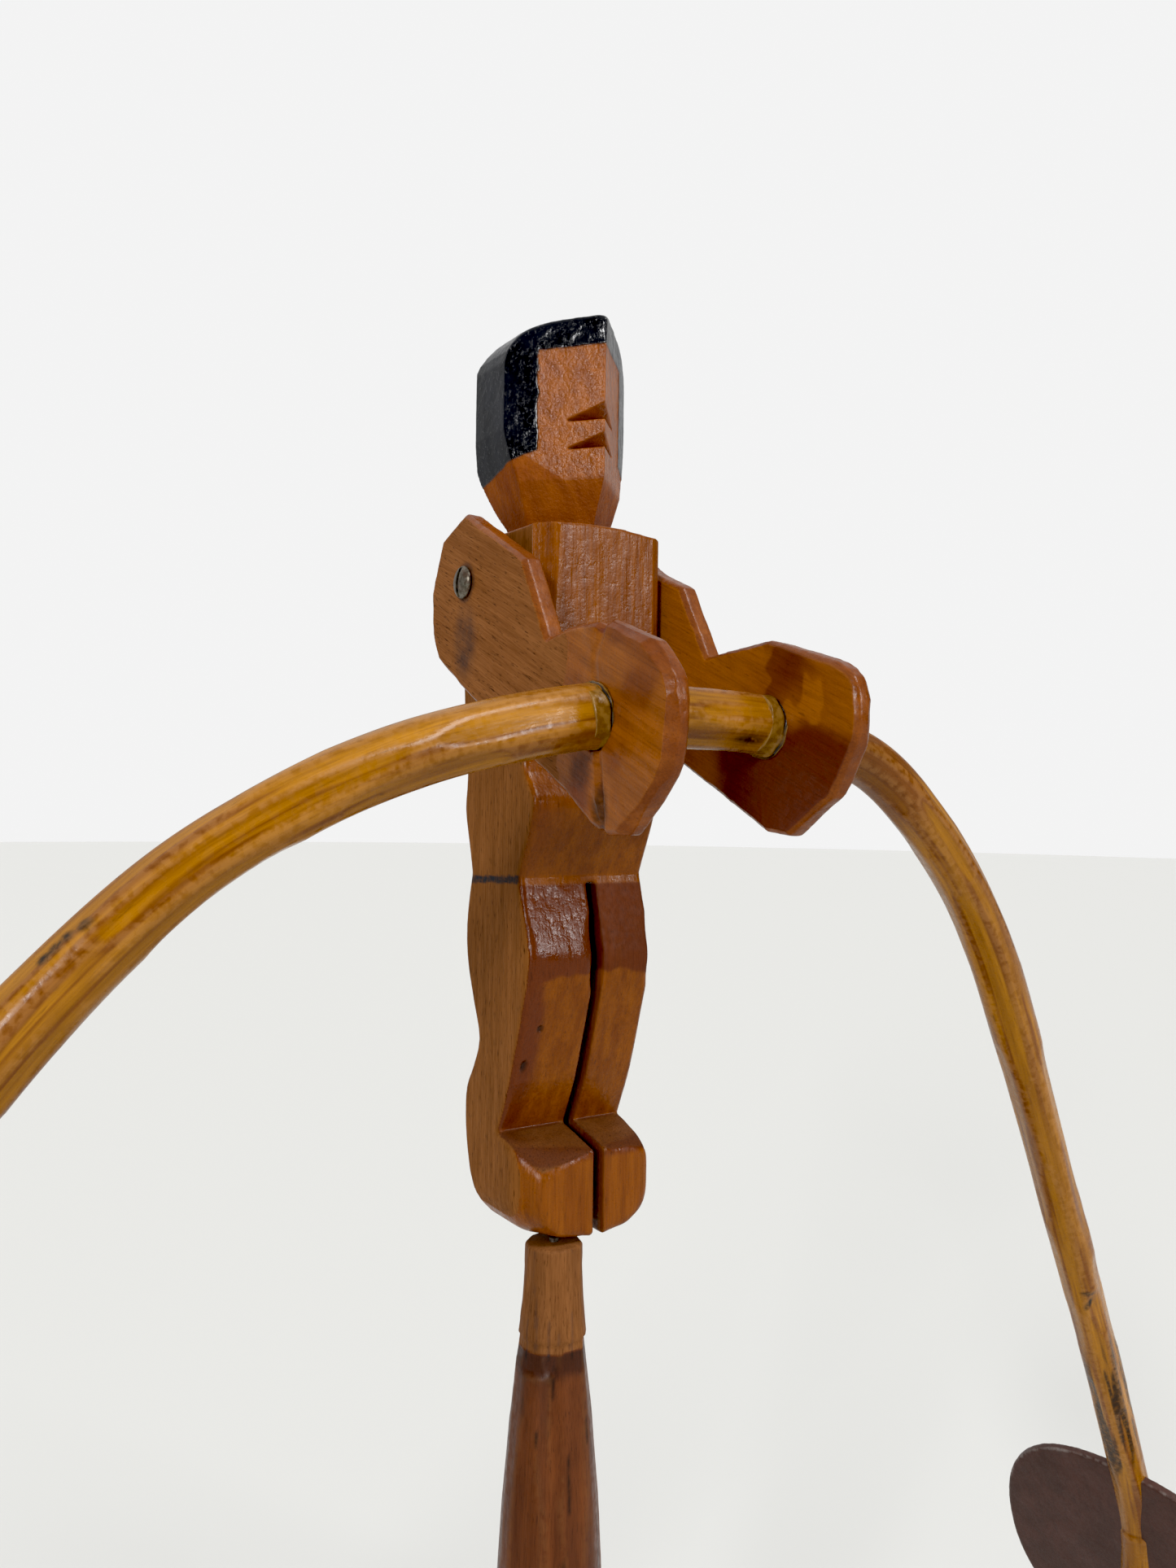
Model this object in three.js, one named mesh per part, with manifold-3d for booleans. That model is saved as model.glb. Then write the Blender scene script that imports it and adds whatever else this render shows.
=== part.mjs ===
// A balancing man: a carved wooden figure stands on one foot on a whittled post and holds a bent
// branch whose two steel discs hang below the point of support, so that it rocks and turns freely.
//
// Units are millimetres, +Z is up. The origin is the centre of the underside of the base, under
// the point of support. The figure faces -Y and its left side is +X.
import * as THREE from 'three';
import { mergeVertices } from 'three/addons/utils/BufferGeometryUtils.js';
import Module from 'manifold-3d';

const wasm = await Module();
wasm.setup();

// ---------------------------------------------------------------- driving dimensions
const GAP = 0.3;                       // clearance between neighbouring pieces
const SOLE_HEIGHT = 250;               // underside of the feet above the table
const SUPPORT = { x: -5.7, y: 5.7 };   // point of support under the right foot, figure frame
const SUPPORT_ABOVE_SOLE = 1;

const BASE = { width: 150, thickness: 20, corner: 16, chamfer: 2.5 };
const FELT = { inset: 2, thickness: 1.5 };
const TENON = { radius: 11, length: 14 };
const SOLE_GAP = 1.1;                  // air between the foot and the top of the post
// Radius of the post at each distance below its top.
const POST_RADII = [[0, 5.4], [0.5, 5.75], [5, 5.9], [11.5, 6.3], [17, 6.8], [20.5, 7.2], [28, 8],
  [36, 8.9], [52, 10.1], [65, 10.7], [110, 12.6], [160, 14.6], [205, 16.4]];
const POST_FOOT_RADIUS = 17.5;
const POST_SIDES = 18;

const BASE_SCREW = { shank: 2, head: 4, headHeight: 2.2, length: 24, slot: 0.9 };
const PIN = { radius: 1, length: 13 };
const BALL_RADIUS = 1;
const CUP = { outer: 1.9, inner: 1.3, bottom: 0.7, height: 4.4 };

const BODY = { width: 30, top: 144.3, bevel: 0.8, kerf: 2.3, kerfCentre: 1.9, kerfTop: 71.5 };
const FOOT = { top: 17.5, round: 6.5, toeY: 0.9, instepY: 7.5 };
// Outer half of each foot in front view, as [x, z] from its top to its bottom, at the toe and further
// back at the instep.
const TOE = {
  right: [[3, 17.8], [-7.9, 15.1], [-10.9, 13.5], [-11.5, 11], [-10.9, 5.8], [-9.7, 3.3], [-7, 0.8],
    [3, -0.9]],
  left: [[-1, 17.6], [7.6, 17.2], [13, 16.4], [14.7, 13.8], [15.3, 8.8], [14.5, 5.8], [13, 3.1], [9.3, 0.6],
    [-1, -0.8]],
};
const INSTEP = {
  right: [[3, 20.5], [-11, 20.2], [-15.4, 18.5], [-15.4, 6.5], [-13.4, 3.2], [-9.5, 0.6], [3, -1.5]],
  left: [[-1, 20.3], [12, 20.2], [15.4, 19], [15.4, 6.5], [13.4, 3.2], [9.5, 0.6], [-1, -1.2]],
};
const DOWEL = { radius: 3, below: 14, above: 12 };

const ARM = { thickness: 4.7, stand: 2, bevel: 0.9 };
const SHOULDER = { y: 18.2, z: 132.9 };
const SHOULDER_SCREW = { shank: 1.8, head: 3.4, headHeight: 1.7, reach: 17, slot: 0.9, slotDepth: 0.8 };
const WASHER_RADIUS = 4.5;

// The balance pole lies in one leaning plane. It is at its highest between the hands.
const POLE = { top: 103.7, y: -30.6, lean: 0.1524, sides: 12, steps: 72 };
const POLE_COURSE = [
  [-219, 257.7], [-215.6, 246], [-212.7, 234], [-207.9, 220], [-197.8, 198], [-184.3, 173], [-170.8, 148],
  [-154.3, 118], [-137.3, 89], [-123.6, 66], [-108.5, 45.3], [-91.5, 28], [-78.3, 18.9], [-62.8, 11.3],
  [-45.6, 5.5], [-20.9, 0.5], [-1.3, 0], [19.3, 0.9], [44.6, 6.6], [62.7, 17.7], [77.8, 30.8],
  [90.5, 45.4], [104.8, 67], [119, 90], [136, 118.9], [153.8, 148.8], [168.4, 173.7], [183.5, 200],
  [194.2, 220], [199.7, 234], [203.1, 246.5], [206.4, 257.7]];
// Radius of the pole at each x.
const POLE_RADII = [[-225, 5.3], [-160, 5.5], [-109, 5.75], [-80, 5.4], [-56, 5.6], [20, 5.6], [45, 5.4],
  [105, 5.4], [130, 5.15], [160, 4.95], [190, 5], [207, 5.2]];

const DISC = { radius: 42, thickness: 2.5, beyondCentre: 16.2, swing: 8, squareness: 0.025, points: 64 };
const DISC_PIN = { radius: 1, length: 10, alongPole: [9, 28] };

// ---------------------------------------------------------------- materials
const finish = (color, roughness, metalness = 0) =>
  new THREE.MeshStandardMaterial({ color, roughness, metalness });
const FINISH = {
  plank: () => finish(0x9c5a2a, 0.45),
  arm: () => finish(0xa0602a, 0.4),
  head: () => finish(0xa45f33, 0.35),
  pole: () => finish(0xb5761c, 0.3),
  post: () => finish(0x6e3f22, 0.55),
  base: () => finish(0x5d3620, 0.5),
  dowel: () => finish(0xc49a62, 0.7),
  felt: () => finish(0x2f4a35, 0.95),
  steel: () => finish(0x8c8a86, 0.4, 1),
  brass: () => finish(0xb08d4a, 0.4, 1),
  disc: () => finish(0x4a2f27, 0.5, 0.7),
};

// ---------------------------------------------------------------- helpers
const named = (name, geometry, material) => {
  const mesh = new THREE.Mesh(geometry, material);
  mesh.name = name;
  return mesh;
};

function toSolid(geometry) {
  const bare = geometry.clone();
  bare.deleteAttribute('normal');
  bare.deleteAttribute('uv');
  const merged = mergeVertices(bare, 1e-4);
  return new wasm.Manifold(new wasm.Mesh({
    numProp: 3,
    vertProperties: new Float32Array(merged.attributes.position.array),
    triVerts: new Uint32Array(merged.index.array),
  }));
}

function toGeometry(solid) {
  const mesh = solid.getMesh();
  const geometry = new THREE.BufferGeometry();
  geometry.setAttribute('position', new THREE.BufferAttribute(mesh.vertProperties, 3));
  geometry.setIndex(new THREE.BufferAttribute(mesh.triVerts, 1));
  const flat = geometry.toNonIndexed();
  flat.computeVertexNormals();
  return flat;
}

// A solid with others cut out of it.
const carve = (body, ...cutters) =>
  toGeometry(cutters.reduce((solid, cutter) => solid.subtract(toSolid(cutter)), toSolid(body)));

const keepInside = (body, ...limits) =>
  toGeometry(limits.reduce((solid, limit) => solid.intersect(toSolid(limit)), toSolid(body)));

const box = (x0, x1, y0, y1, z0, z1) => new THREE.BoxGeometry(x1 - x0, y1 - y0, z1 - z0)
  .translate((x0 + x1) / 2, (y0 + y1) / 2, (z0 + z1) / 2);

// A cylinder about the z axis, from z0 to z1.
const rod = (radius, z0, z1, sides = 24, topRadius = radius) =>
  new THREE.CylinderGeometry(topRadius, radius, z1 - z0, sides).rotateX(Math.PI / 2)
    .translate(0, 0, (z0 + z1) / 2);

// A closed outline: each run is a list of points joined by a smooth curve, and the runs meet in corners.
function outline(runs, stepsPerSpan = 3) {
  const points = runs.flatMap((run) => (run.length < 3
    ? run.map(([u, v]) => new THREE.Vector2(u, v))
    : new THREE.SplineCurve(run.map(([u, v]) => new THREE.Vector2(u, v)))
      .getPoints((run.length - 1) * stepsPerSpan)));
  return new THREE.Shape(points);
}

function extrude(shape, depth, bevel = 0) {
  return new THREE.ExtrudeGeometry(shape, {
    depth: depth - 2 * bevel,
    bevelEnabled: bevel > 0,
    bevelThickness: bevel,
    bevelSize: bevel,
    bevelOffset: -bevel,
    bevelSegments: 1,
    curveSegments: 6,
  }).translate(0, 0, bevel);
}

// An outline drawn in (y, z), extruded across the figure from x0 to x1.
const acrossX = (shape, x0, x1, bevel = 0) => extrude(shape, x1 - x0, bevel)
  .applyMatrix4(new THREE.Matrix4().makeBasis(
    new THREE.Vector3(0, 1, 0), new THREE.Vector3(0, 0, 1), new THREE.Vector3(1, 0, 0)))
  .translate(x0, 0, 0);

// An outline drawn in (x, z), extruded from the front y0 to the back y1.
const acrossY = (shape, y0, y1) => extrude(shape, y1 - y0).rotateX(Math.PI / 2).translate(0, y1, 0);

// An outline drawn in (x, y), extruded upward from z0 to z1.
const upward = (shape, z0, z1) => extrude(shape, z1 - z0).translate(0, 0, z0);

// Value at x of a table of [x, value] pairs, in straight steps.
function lookUp(table, x) {
  const last = table.length - 1;
  if (x <= table[0][0]) return table[0][1];
  if (x >= table[last][0]) return table[last][1];
  const i = table.findIndex(([at]) => at > x);
  const [x0, v0] = table[i - 1];
  const [x1, v1] = table[i];
  return v0 + (v1 - v0) * (x - x0) / (x1 - x0);
}

// ---------------------------------------------------------------- the stand
function clippedSquare(width, corner) {
  const h = width / 2;
  const c = h - corner;
  return new THREE.Shape([[-c, -h], [c, -h], [h, -c], [h, c], [c, h], [-c, h], [-h, c], [-h, -c]]
    .map(([x, y]) => new THREE.Vector2(x, y)));
}

const BASE_BOTTOM = FELT.thickness + GAP;
const BASE_TOP = BASE_BOTTOM + BASE.thickness;
const POST_TOP = SOLE_HEIGHT - SOLE_GAP;
const TENON_BOTTOM = BASE_TOP - TENON.length;

const feltPad = () => upward(clippedSquare(BASE.width - 2 * FELT.inset, BASE.corner), 0, FELT.thickness);

function countersunkHead(clearance, bottom) {
  const { shank, head, headHeight } = BASE_SCREW;
  return rod(head + clearance, bottom, bottom + headHeight + clearance, 24, shank + clearance);
}

function baseBoard() {
  const inner = BASE.width - 2 * BASE.chamfer;
  const block = upward(clippedSquare(BASE.width, BASE.corner), BASE_BOTTOM, BASE_TOP);
  const tall = BASE.thickness + BASE.chamfer;
  const chamfer = new THREE.CylinderGeometry(inner * Math.SQRT1_2, (inner + 2 * tall) * Math.SQRT1_2, tall, 4)
    .rotateX(Math.PI / 2).rotateZ(Math.PI / 4).translate(0, 0, BASE_TOP - tall / 2);
  const mortise = rod(TENON.radius + GAP, TENON_BOTTOM - GAP, BASE_TOP + 1, 32);
  const screwHole = rod(BASE_SCREW.shank + GAP, BASE_BOTTOM - 1, BASE_TOP, 24);
  const shaped = keepInside(block, chamfer);
  return carve(shaped, mortise, screwHole, countersunkHead(GAP, BASE_BOTTOM));
}

function baseScrew() {
  const { shank, length, slot, head } = BASE_SCREW;
  const blank = toSolid(countersunkHead(0, BASE_BOTTOM))
    .add(toSolid(rod(shank, BASE_BOTTOM, BASE_BOTTOM + length)));
  return carve(toGeometry(blank), box(-head, head, -slot / 2, slot / 2, 0, BASE_BOTTOM + slot));
}

function post() {
  const profile = [new THREE.Vector2(0, TENON_BOTTOM), new THREE.Vector2(TENON.radius, TENON_BOTTOM),
    new THREE.Vector2(TENON.radius, BASE_TOP + GAP), new THREE.Vector2(POST_FOOT_RADIUS, BASE_TOP + GAP)];
  for (const [below, radius] of [...POST_RADII].reverse()) {
    profile.push(new THREE.Vector2(radius, POST_TOP - below));
  }
  profile.push(new THREE.Vector2(0, POST_TOP));
  const turned = new THREE.LatheGeometry(profile, POST_SIDES).rotateX(Math.PI / 2);
  const pinBottom = pinTop() - PIN.length;
  return carve(turned, rod(PIN.radius + GAP, pinBottom - GAP, POST_TOP + 1, 20),
    rod(BASE_SCREW.shank + GAP, 0, BASE_BOTTOM + BASE_SCREW.length + GAP));
}

// ---------------------------------------------------------------- the bearing under the foot
const SUPPORT_HEIGHT = SOLE_HEIGHT + SUPPORT_ABOVE_SOLE;
const pinTop = () => SUPPORT_HEIGHT - BALL_RADIUS - GAP;

const pivotPin = () => rod(PIN.radius, pinTop() - PIN.length, pinTop(), 20);
const pivotBall = () => new THREE.SphereGeometry(BALL_RADIUS, 20, 14).translate(0, 0, SUPPORT_HEIGHT);

// An inverted cup let into the sole, in the figure frame.
function bearingCup() {
  const ceiling = SUPPORT_ABOVE_SOLE + BALL_RADIUS + GAP;
  return carve(rod(CUP.outer, CUP.bottom, CUP.height, 28), rod(CUP.inner, -1, ceiling, 24))
    .translate(SUPPORT.x, SUPPORT.y, 0);
}

// ---------------------------------------------------------------- the figure
// Side outline of the plank that torso and legs are cut from, as (y, z): the chest front is y = 0.
const BODY_OUTLINE = [
  [[0, BODY.top], [0, 118]],
  [[0.6, 108], [4.6, 98.5], [4.2, 94], [0.9, 89.5], [0.6, 86], [2.2, 81.5], [4.6, 76], [5.8, 73]],
  [[4.7, 68.5], [2.4, 60.5], [1.5, 55], [4.3, 44], [8.2, 31], [12.8, 20.5]],
  [[7.5, 19.2], [1, FOOT.top]],
  [[1, 0.8], [1.8, 0]],
  [[14, 0], [19.6, 2], [24.6, 7], [27.1, 13.5], [28.2, 20.5], [27.7, 27], [24.8, 32.1], [22.5, 38],
    [24.9, 44.5], [27.9, 52.5], [28.9, 59.3], [28.2, 66], [26.6, 72.5]],
  [[28.2, 78.5], [30.2, 86], [29.6, 93], [30.4, 102], [31.6, 112], [31.2, 126], [30, 138], [29, BODY.top]],
];

// What is cut along the outer lower edge of one foot, as (x, z).
function soleEdge(side) {
  const half = BODY.width / 2;
  const r = FOOT.round;
  const shape = new THREE.Shape();
  shape.moveTo(0, -1);
  shape.lineTo(side * (half - r - 2.5), 0);
  shape.quadraticCurveTo(side * half, 0, side * half, r + 2.5);
  shape.lineTo(side * (half + 1), r + 2.5);
  shape.lineTo(side * (half + 1), -1);
  return acrossY(shape, FOOT.instepY, 40);
}

// What is cut from the front of one foot: all but the wedge between its toe and its instep.
function toeWaste(side) {
  const { toeY, instepY } = FOOT;
  const which = side < 0 ? 'right' : 'left';
  const wedge = wasm.Manifold.hull([
    ...TOE[which].map(([x, z]) => [x, toeY, z]),
    ...INSTEP[which].map(([x, z]) => [x, instepY, z])]);
  const edge = BODY.kerfCentre + side * BODY.kerf / 2;
  const far = side * (BODY.width / 2 + 3);
  const around = toSolid(box(Math.min(edge, far), Math.max(edge, far), toeY - 3, instepY, -2, FOOT.top + 6));
  return toGeometry(around.subtract(wedge));
}

// What is cut from the top of the chest, so that it falls a little towards one shoulder.
function shoulderSlope(side) {
  const shape = new THREE.Shape([[5, BODY.top], [17, BODY.top - 1.1], [17, BODY.top + 2], [5, BODY.top + 2]]
    .map(([x, z]) => new THREE.Vector2(side * x, z)));
  return acrossY(shape, -2, 35);
}

function torsoAndLegs() {
  const half = BODY.width / 2;
  const plank = acrossX(outline(BODY_OUTLINE), -half, half, BODY.bevel);
  const { kerfCentre, kerfTop } = BODY;
  const kerf = box(kerfCentre - BODY.kerf / 2, kerfCentre + BODY.kerf / 2, -5, 40, -5, kerfTop);
  const trims = [-1, 1].flatMap((side) => [toeWaste(side), soleEdge(side), shoulderSlope(side)]);
  const cupHole = rod(CUP.outer + GAP, -2, CUP.height + GAP, 28).translate(SUPPORT.x, SUPPORT.y, 0);
  const dowelHole = rod(DOWEL.radius + GAP, BODY.top - DOWEL.below - GAP, BODY.top + 1, 24)
    .translate(0, HEAD.dowelY, 0);
  const screwHoles = [-1, 1].map((side) => alongArmAxis(side, SHOULDER_SCREW.shank + GAP,
    half + 1, half + ARM.stand + ARM.thickness - SHOULDER_SCREW.reach - GAP));
  return carve(plank, kerf, ...trims, cupHole, dowelHole, ...screwHoles);
}

// A cylinder on the shoulder axis between two distances from the middle of the figure.
function alongArmAxis(side, radius, from, to, sides = 20, fromRadius = radius) {
  const geometry = rod(radius, Math.min(from, to), Math.max(from, to), sides, fromRadius)
    .rotateY(side * Math.PI / 2);
  return geometry.translate(0, SHOULDER.y, SHOULDER.z);
}

// ---------------------------------------------------------------- the head
const HEAD = {
  half: 14.9, ridgeX: -1.1, ridgeY: -1.8, cheekY: 14.9, backY: 29.2, bottom: 144.7, top: 186.6, dowelY: 14,
};
const JAW = { top: 154, recede: 0.39 };    // below this level the face slopes back towards the neck
// Each cut across the ridge of the face: the level of its flat lower face, its height and its depth.
const FACE_CUTS = [{ z: 165.5, height: 3.5, depth: 7.2 }, { z: 159.8, height: 3.1, depth: 6.9 }];

function faceCut({ z, height, depth }) {
  const front = HEAD.ridgeY - 3;
  const rise = height * (depth + 3) / depth;
  const shape = new THREE.Shape([[front, z], [HEAD.ridgeY + depth, z], [front, z + rise]]
    .map(([y, level]) => new THREE.Vector2(y, level)));
  return acrossX(shape, -HEAD.half, HEAD.half);
}

function head() {
  const { half, ridgeX, ridgeY, cheekY, backY, bottom, top } = HEAD;
  const planOf = (back) => new THREE.Shape([[ridgeX, ridgeY], [half, cheekY], [half, back - 2],
    [half - 2, back], [-half + 2, back], [-half, back - 2], [-half, cheekY]]
    .map(([x, y]) => new THREE.Vector2(x, y)));
  const recede = new THREE.Matrix4().makeShear(0, 0, 0, 0, 0, -JAW.recede)
    .setPosition(0, JAW.recede * JAW.top, 0);
  const jaw = upward(planOf(backY + 20), bottom - 1, top + 2).applyMatrix4(recede);
  const front = outline([
    [[9.8, bottom - 1], [11.6, 150], [13.4, 156.5], [half, 165], [half + 0.2, 170]],
    [[half + 0.2, 175.4], [half - 0.4, 181.2], [half - 3, 185], [half - 8, 186.5], [0, top],
      [-half + 8, 186.5], [-half + 3, 185], [-half + 0.4, 181.2], [-half - 0.2, 175.4]],
    [[-half - 0.2, 170], [-half, 165], [-13.4, 156.5], [-11.6, 150], [-9.8, bottom - 1]]]);
  const side = outline([
    [[ridgeY - 0.2, bottom - 1], [ridgeY - 0.2, 185.6]],
    [[ridgeY + 1, top], [8, top + 0.2], [17, 185.9], [24.8, 182.8], [30, 176.6]],
    [[30.2, 172], [29.2, 164], [27.8, 157], [24.6, 150], [19.8, bottom - 1]]]);
  const block = keepInside(upward(planOf(backY), bottom, top + 1), jaw, acrossY(front, -5, 35),
    acrossX(side, -20, 20));
  const dowelHole = rod(DOWEL.radius + GAP, bottom - 2, bottom + DOWEL.above + GAP, 24)
    .translate(0, HEAD.dowelY, 0);
  return carve(block, ...FACE_CUTS.map(faceCut), dowelHole);
}

const neckDowel = () => rod(DOWEL.radius, BODY.top - DOWEL.below, HEAD.bottom + DOWEL.above, 24)
  .translate(0, HEAD.dowelY, 0);

// ---------------------------------------------------------------- the pole and its weights
const polePoint = ([x, drop]) => new THREE.Vector3(x, POLE.y + POLE.lean * drop, POLE.top - drop);
const POLE_CURVE = new THREE.CatmullRomCurve3(POLE_COURSE.map(polePoint), false, 'centripetal');
const POLE_PLANE = new THREE.Vector3(0, 1, POLE.lean).normalize();

// A cylinder bent along the pole's course, thicker all round by an allowance.
function poleBlank(allowance) {
  const { sides, steps } = POLE;
  const geometry = new THREE.CylinderGeometry(1, 1, 1, sides, steps);
  const position = geometry.attributes.position;
  const local = new THREE.Vector3();
  for (let i = 0; i < position.count; i += 1) {
    local.fromBufferAttribute(position, i);
    const along = Math.min(1, Math.max(0, 0.5 - local.y));
    const centre = POLE_CURVE.getPointAt(along);
    const tangent = POLE_CURVE.getTangentAt(along);
    const across = new THREE.Vector3().crossVectors(POLE_PLANE, tangent).normalize();
    const radius = lookUp(POLE_RADII, centre.x) + allowance;
    centre.addScaledVector(POLE_PLANE, radius * local.z).addScaledVector(across, radius * local.x);
    position.setXYZ(i, centre.x, centre.y, centre.z);
  }
  return geometry;
}

// The frame of one weight: origin at the disc's centre, +z down the pole's end, +x square to the disc.
function discFrame(side) {
  const total = POLE_CURVE.getLength();
  const slot = (DISC.radius + DISC.beyondCentre) / total;
  const tip = POLE_CURVE.getPointAt(side > 0 ? 1 : 0);
  const mouth = POLE_CURVE.getPointAt(side > 0 ? 1 - slot : slot);
  const down = tip.clone().sub(mouth).normalize();
  const swing = THREE.MathUtils.degToRad(DISC.swing);
  const chord = new THREE.Vector3(-side * Math.sin(swing), Math.cos(swing), 0);
  chord.addScaledVector(down, -chord.dot(down)).normalize();
  const normal = new THREE.Vector3().crossVectors(chord, down);
  const centre = tip.addScaledVector(down, -DISC.beyondCentre);
  return new THREE.Matrix4().makeBasis(normal, chord, down).setPosition(centre);
}

// A disc cut by hand, so that it is a little square.
function discOutline() {
  const points = [];
  for (let i = 0; i < DISC.points; i += 1) {
    const angle = 2 * Math.PI * i / DISC.points;
    const radius = DISC.radius * (1 - DISC.squareness * (1 - Math.cos(4 * angle + Math.PI)));
    points.push(new THREE.Vector2(radius * Math.cos(angle), radius * Math.sin(angle)));
  }
  return new THREE.Shape(points);
}

const acrossDisc = (radius, halfLength) => rod(radius, -halfLength, halfLength, 16).rotateY(Math.PI / 2);
const pinHoles = (halfLength) => DISC_PIN.alongPole
  .map((up) => acrossDisc(DISC_PIN.radius + GAP, halfLength).translate(0, 0, -up));

const weightDisc = (side) => carve(acrossX(discOutline(), -DISC.thickness / 2, DISC.thickness / 2, 0.4),
  ...pinHoles(DISC.thickness)).applyMatrix4(discFrame(side));

const discPin = (side, up) => acrossDisc(DISC_PIN.radius, DISC_PIN.length / 2).translate(0, 0, -up)
  .applyMatrix4(discFrame(side));

function balancePole() {
  const sawCut = DISC.thickness / 2 + GAP;
  const cutters = [-1, 1].flatMap((side) => [
    box(-sawCut, sawCut, -12, 12, -DISC.radius - GAP, DISC.beyondCentre + 5).applyMatrix4(discFrame(side)),
    ...pinHoles(12).map((hole) => hole.applyMatrix4(discFrame(side)))]);
  return carve(poleBlank(0), ...cutters);
}

// ---------------------------------------------------------------- the arms
// Side outlines, as (y, z), from the top of the shoulder round by the elbow to the hand and back.
const RIGHT_ARM_OUTLINE = [
  [[19, 147.3], [29.4, 143.6]],
  [[34.2, 132.9], [33.5, 123.5], [30.5, 117.7]],
  [[15, 108.6], [-9.7, 95.8], [-20, 90.4], [-31, 83.2]],
  [[-35, 82.7], [-39.3, 83]],
  [[-41.6, 84.8], [-49.5, 92.5], [-51.5, 98.3], [-51.9, 105.1], [-50.6, 109.9], [-45.8, 114.8]],
  [[-32.6, 119.7], [-19.7, 119.3]],
  [[-14.2, 118.3], [-5.3, 134.4]]];
const LEFT_ARM_OUTLINE = [
  [[19, 147.3], [29.4, 143.6]],
  [[34.2, 132.9], [33.5, 123.5], [30.5, 117.7]],
  [[15, 107.4], [-0.5, 98.2], [-15.8, 90.7], [-30.5, 83.1]],
  [[-36.9, 82.5], [-48.1, 89.7]],
  [[-53.4, 99], [-54.4, 104.4], [-52.8, 111], [-48.4, 114]],
  [[-31, 119.5], [-12.5, 117.8]],
  [[-3.8, 133.1], [7, 138.1]]];

const ARM_INNER = BODY.width / 2 + ARM.stand;
const ARM_OUTER = ARM_INNER + ARM.thickness;

function arm(side) {
  const [x0, x1] = side < 0 ? [-ARM_OUTER, -ARM_INNER] : [ARM_INNER, ARM_OUTER];
  const blank = acrossX(outline(side < 0 ? RIGHT_ARM_OUTLINE : LEFT_ARM_OUTLINE), x0, x1, ARM.bevel);
  const screwHole = alongArmAxis(side, SHOULDER_SCREW.shank + GAP, ARM_INNER - 1, ARM_OUTER + 1);
  return carve(blank, poleBlank(GAP), screwHole);
}

function shoulderScrew(side) {
  const { shank, head: headRadius, headHeight, reach, slot, slotDepth } = SHOULDER_SCREW;
  const seat = ARM_OUTER + GAP;
  const crown = alongArmAxis(side, headRadius, seat, seat + headHeight, 24, headRadius * 0.72);
  const blank = toSolid(crown).add(toSolid(alongArmAxis(side, shank, ARM_OUTER - reach, seat + 0.2)));
  const top = seat + headHeight;
  const cut = box(side * top - slotDepth, side * top + slotDepth, -slot / 2, slot / 2, -6, 6)
    .rotateX(0.12).translate(0, SHOULDER.y, SHOULDER.z);
  return carve(toGeometry(blank), cut);
}

const shoulderWasher = (side) => carve(
  alongArmAxis(side, WASHER_RADIUS, BODY.width / 2 + GAP, ARM_INNER - GAP, 28),
  alongArmAxis(side, SHOULDER_SCREW.shank + GAP, BODY.width / 2 - 1, ARM_INNER + 1));

// ---------------------------------------------------------------- assembly
const stand = new THREE.Group();
stand.add(
  named('felt_pad', feltPad(), FINISH.felt()),
  named('base_board', baseBoard(), FINISH.base()),
  named('base_screw', baseScrew(), FINISH.steel()),
  named('post', post(), FINISH.post()),
  named('pivot_pin', pivotPin(), FINISH.steel()),
  named('pivot_ball', pivotBall(), FINISH.steel()),
);

// The figure's own frame: x to its left, y to its back, z up from its soles.
const figure = new THREE.Group();
figure.position.set(-SUPPORT.x, -SUPPORT.y, SOLE_HEIGHT);
figure.add(
  named('bearing_cup', bearingCup(), FINISH.brass()),
  named('torso_and_legs', torsoAndLegs(), FINISH.plank()),
  named('head', head(), FINISH.head()),
  named('neck_dowel', neckDowel(), FINISH.dowel()),
  named('balance_pole', balancePole(), FINISH.pole()),
);
for (const [label, side] of [['right', -1], ['left', 1]]) {
  figure.add(
    named(`${label}_arm`, arm(side), FINISH.arm()),
    named(`${label}_shoulder_screw`, shoulderScrew(side), FINISH.steel()),
    named(`${label}_shoulder_washer`, shoulderWasher(side), FINISH.steel()),
    named(`${label}_weight_disc`, weightDisc(side), FINISH.disc()),
  );
  DISC_PIN.alongPole.forEach((up, i) => {
    figure.add(named(`${label}_disc_pin_${i + 1}`, discPin(side, up), FINISH.steel()));
  });
}

const balancingMan = new THREE.Group();
balancingMan.add(stand, figure);

export default balancingMan;
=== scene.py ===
"""A carved wooden balancing man on a whittled post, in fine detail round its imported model.

Lengths are metres in the frame of the model. Carving and painting are worked out in millimetres
in the figure's own frame: x to its left, y to its back from the chest, z up from its soles.
"""
import math
import random

import bpy
import numpy as np
from mathutils import Matrix, Vector


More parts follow.
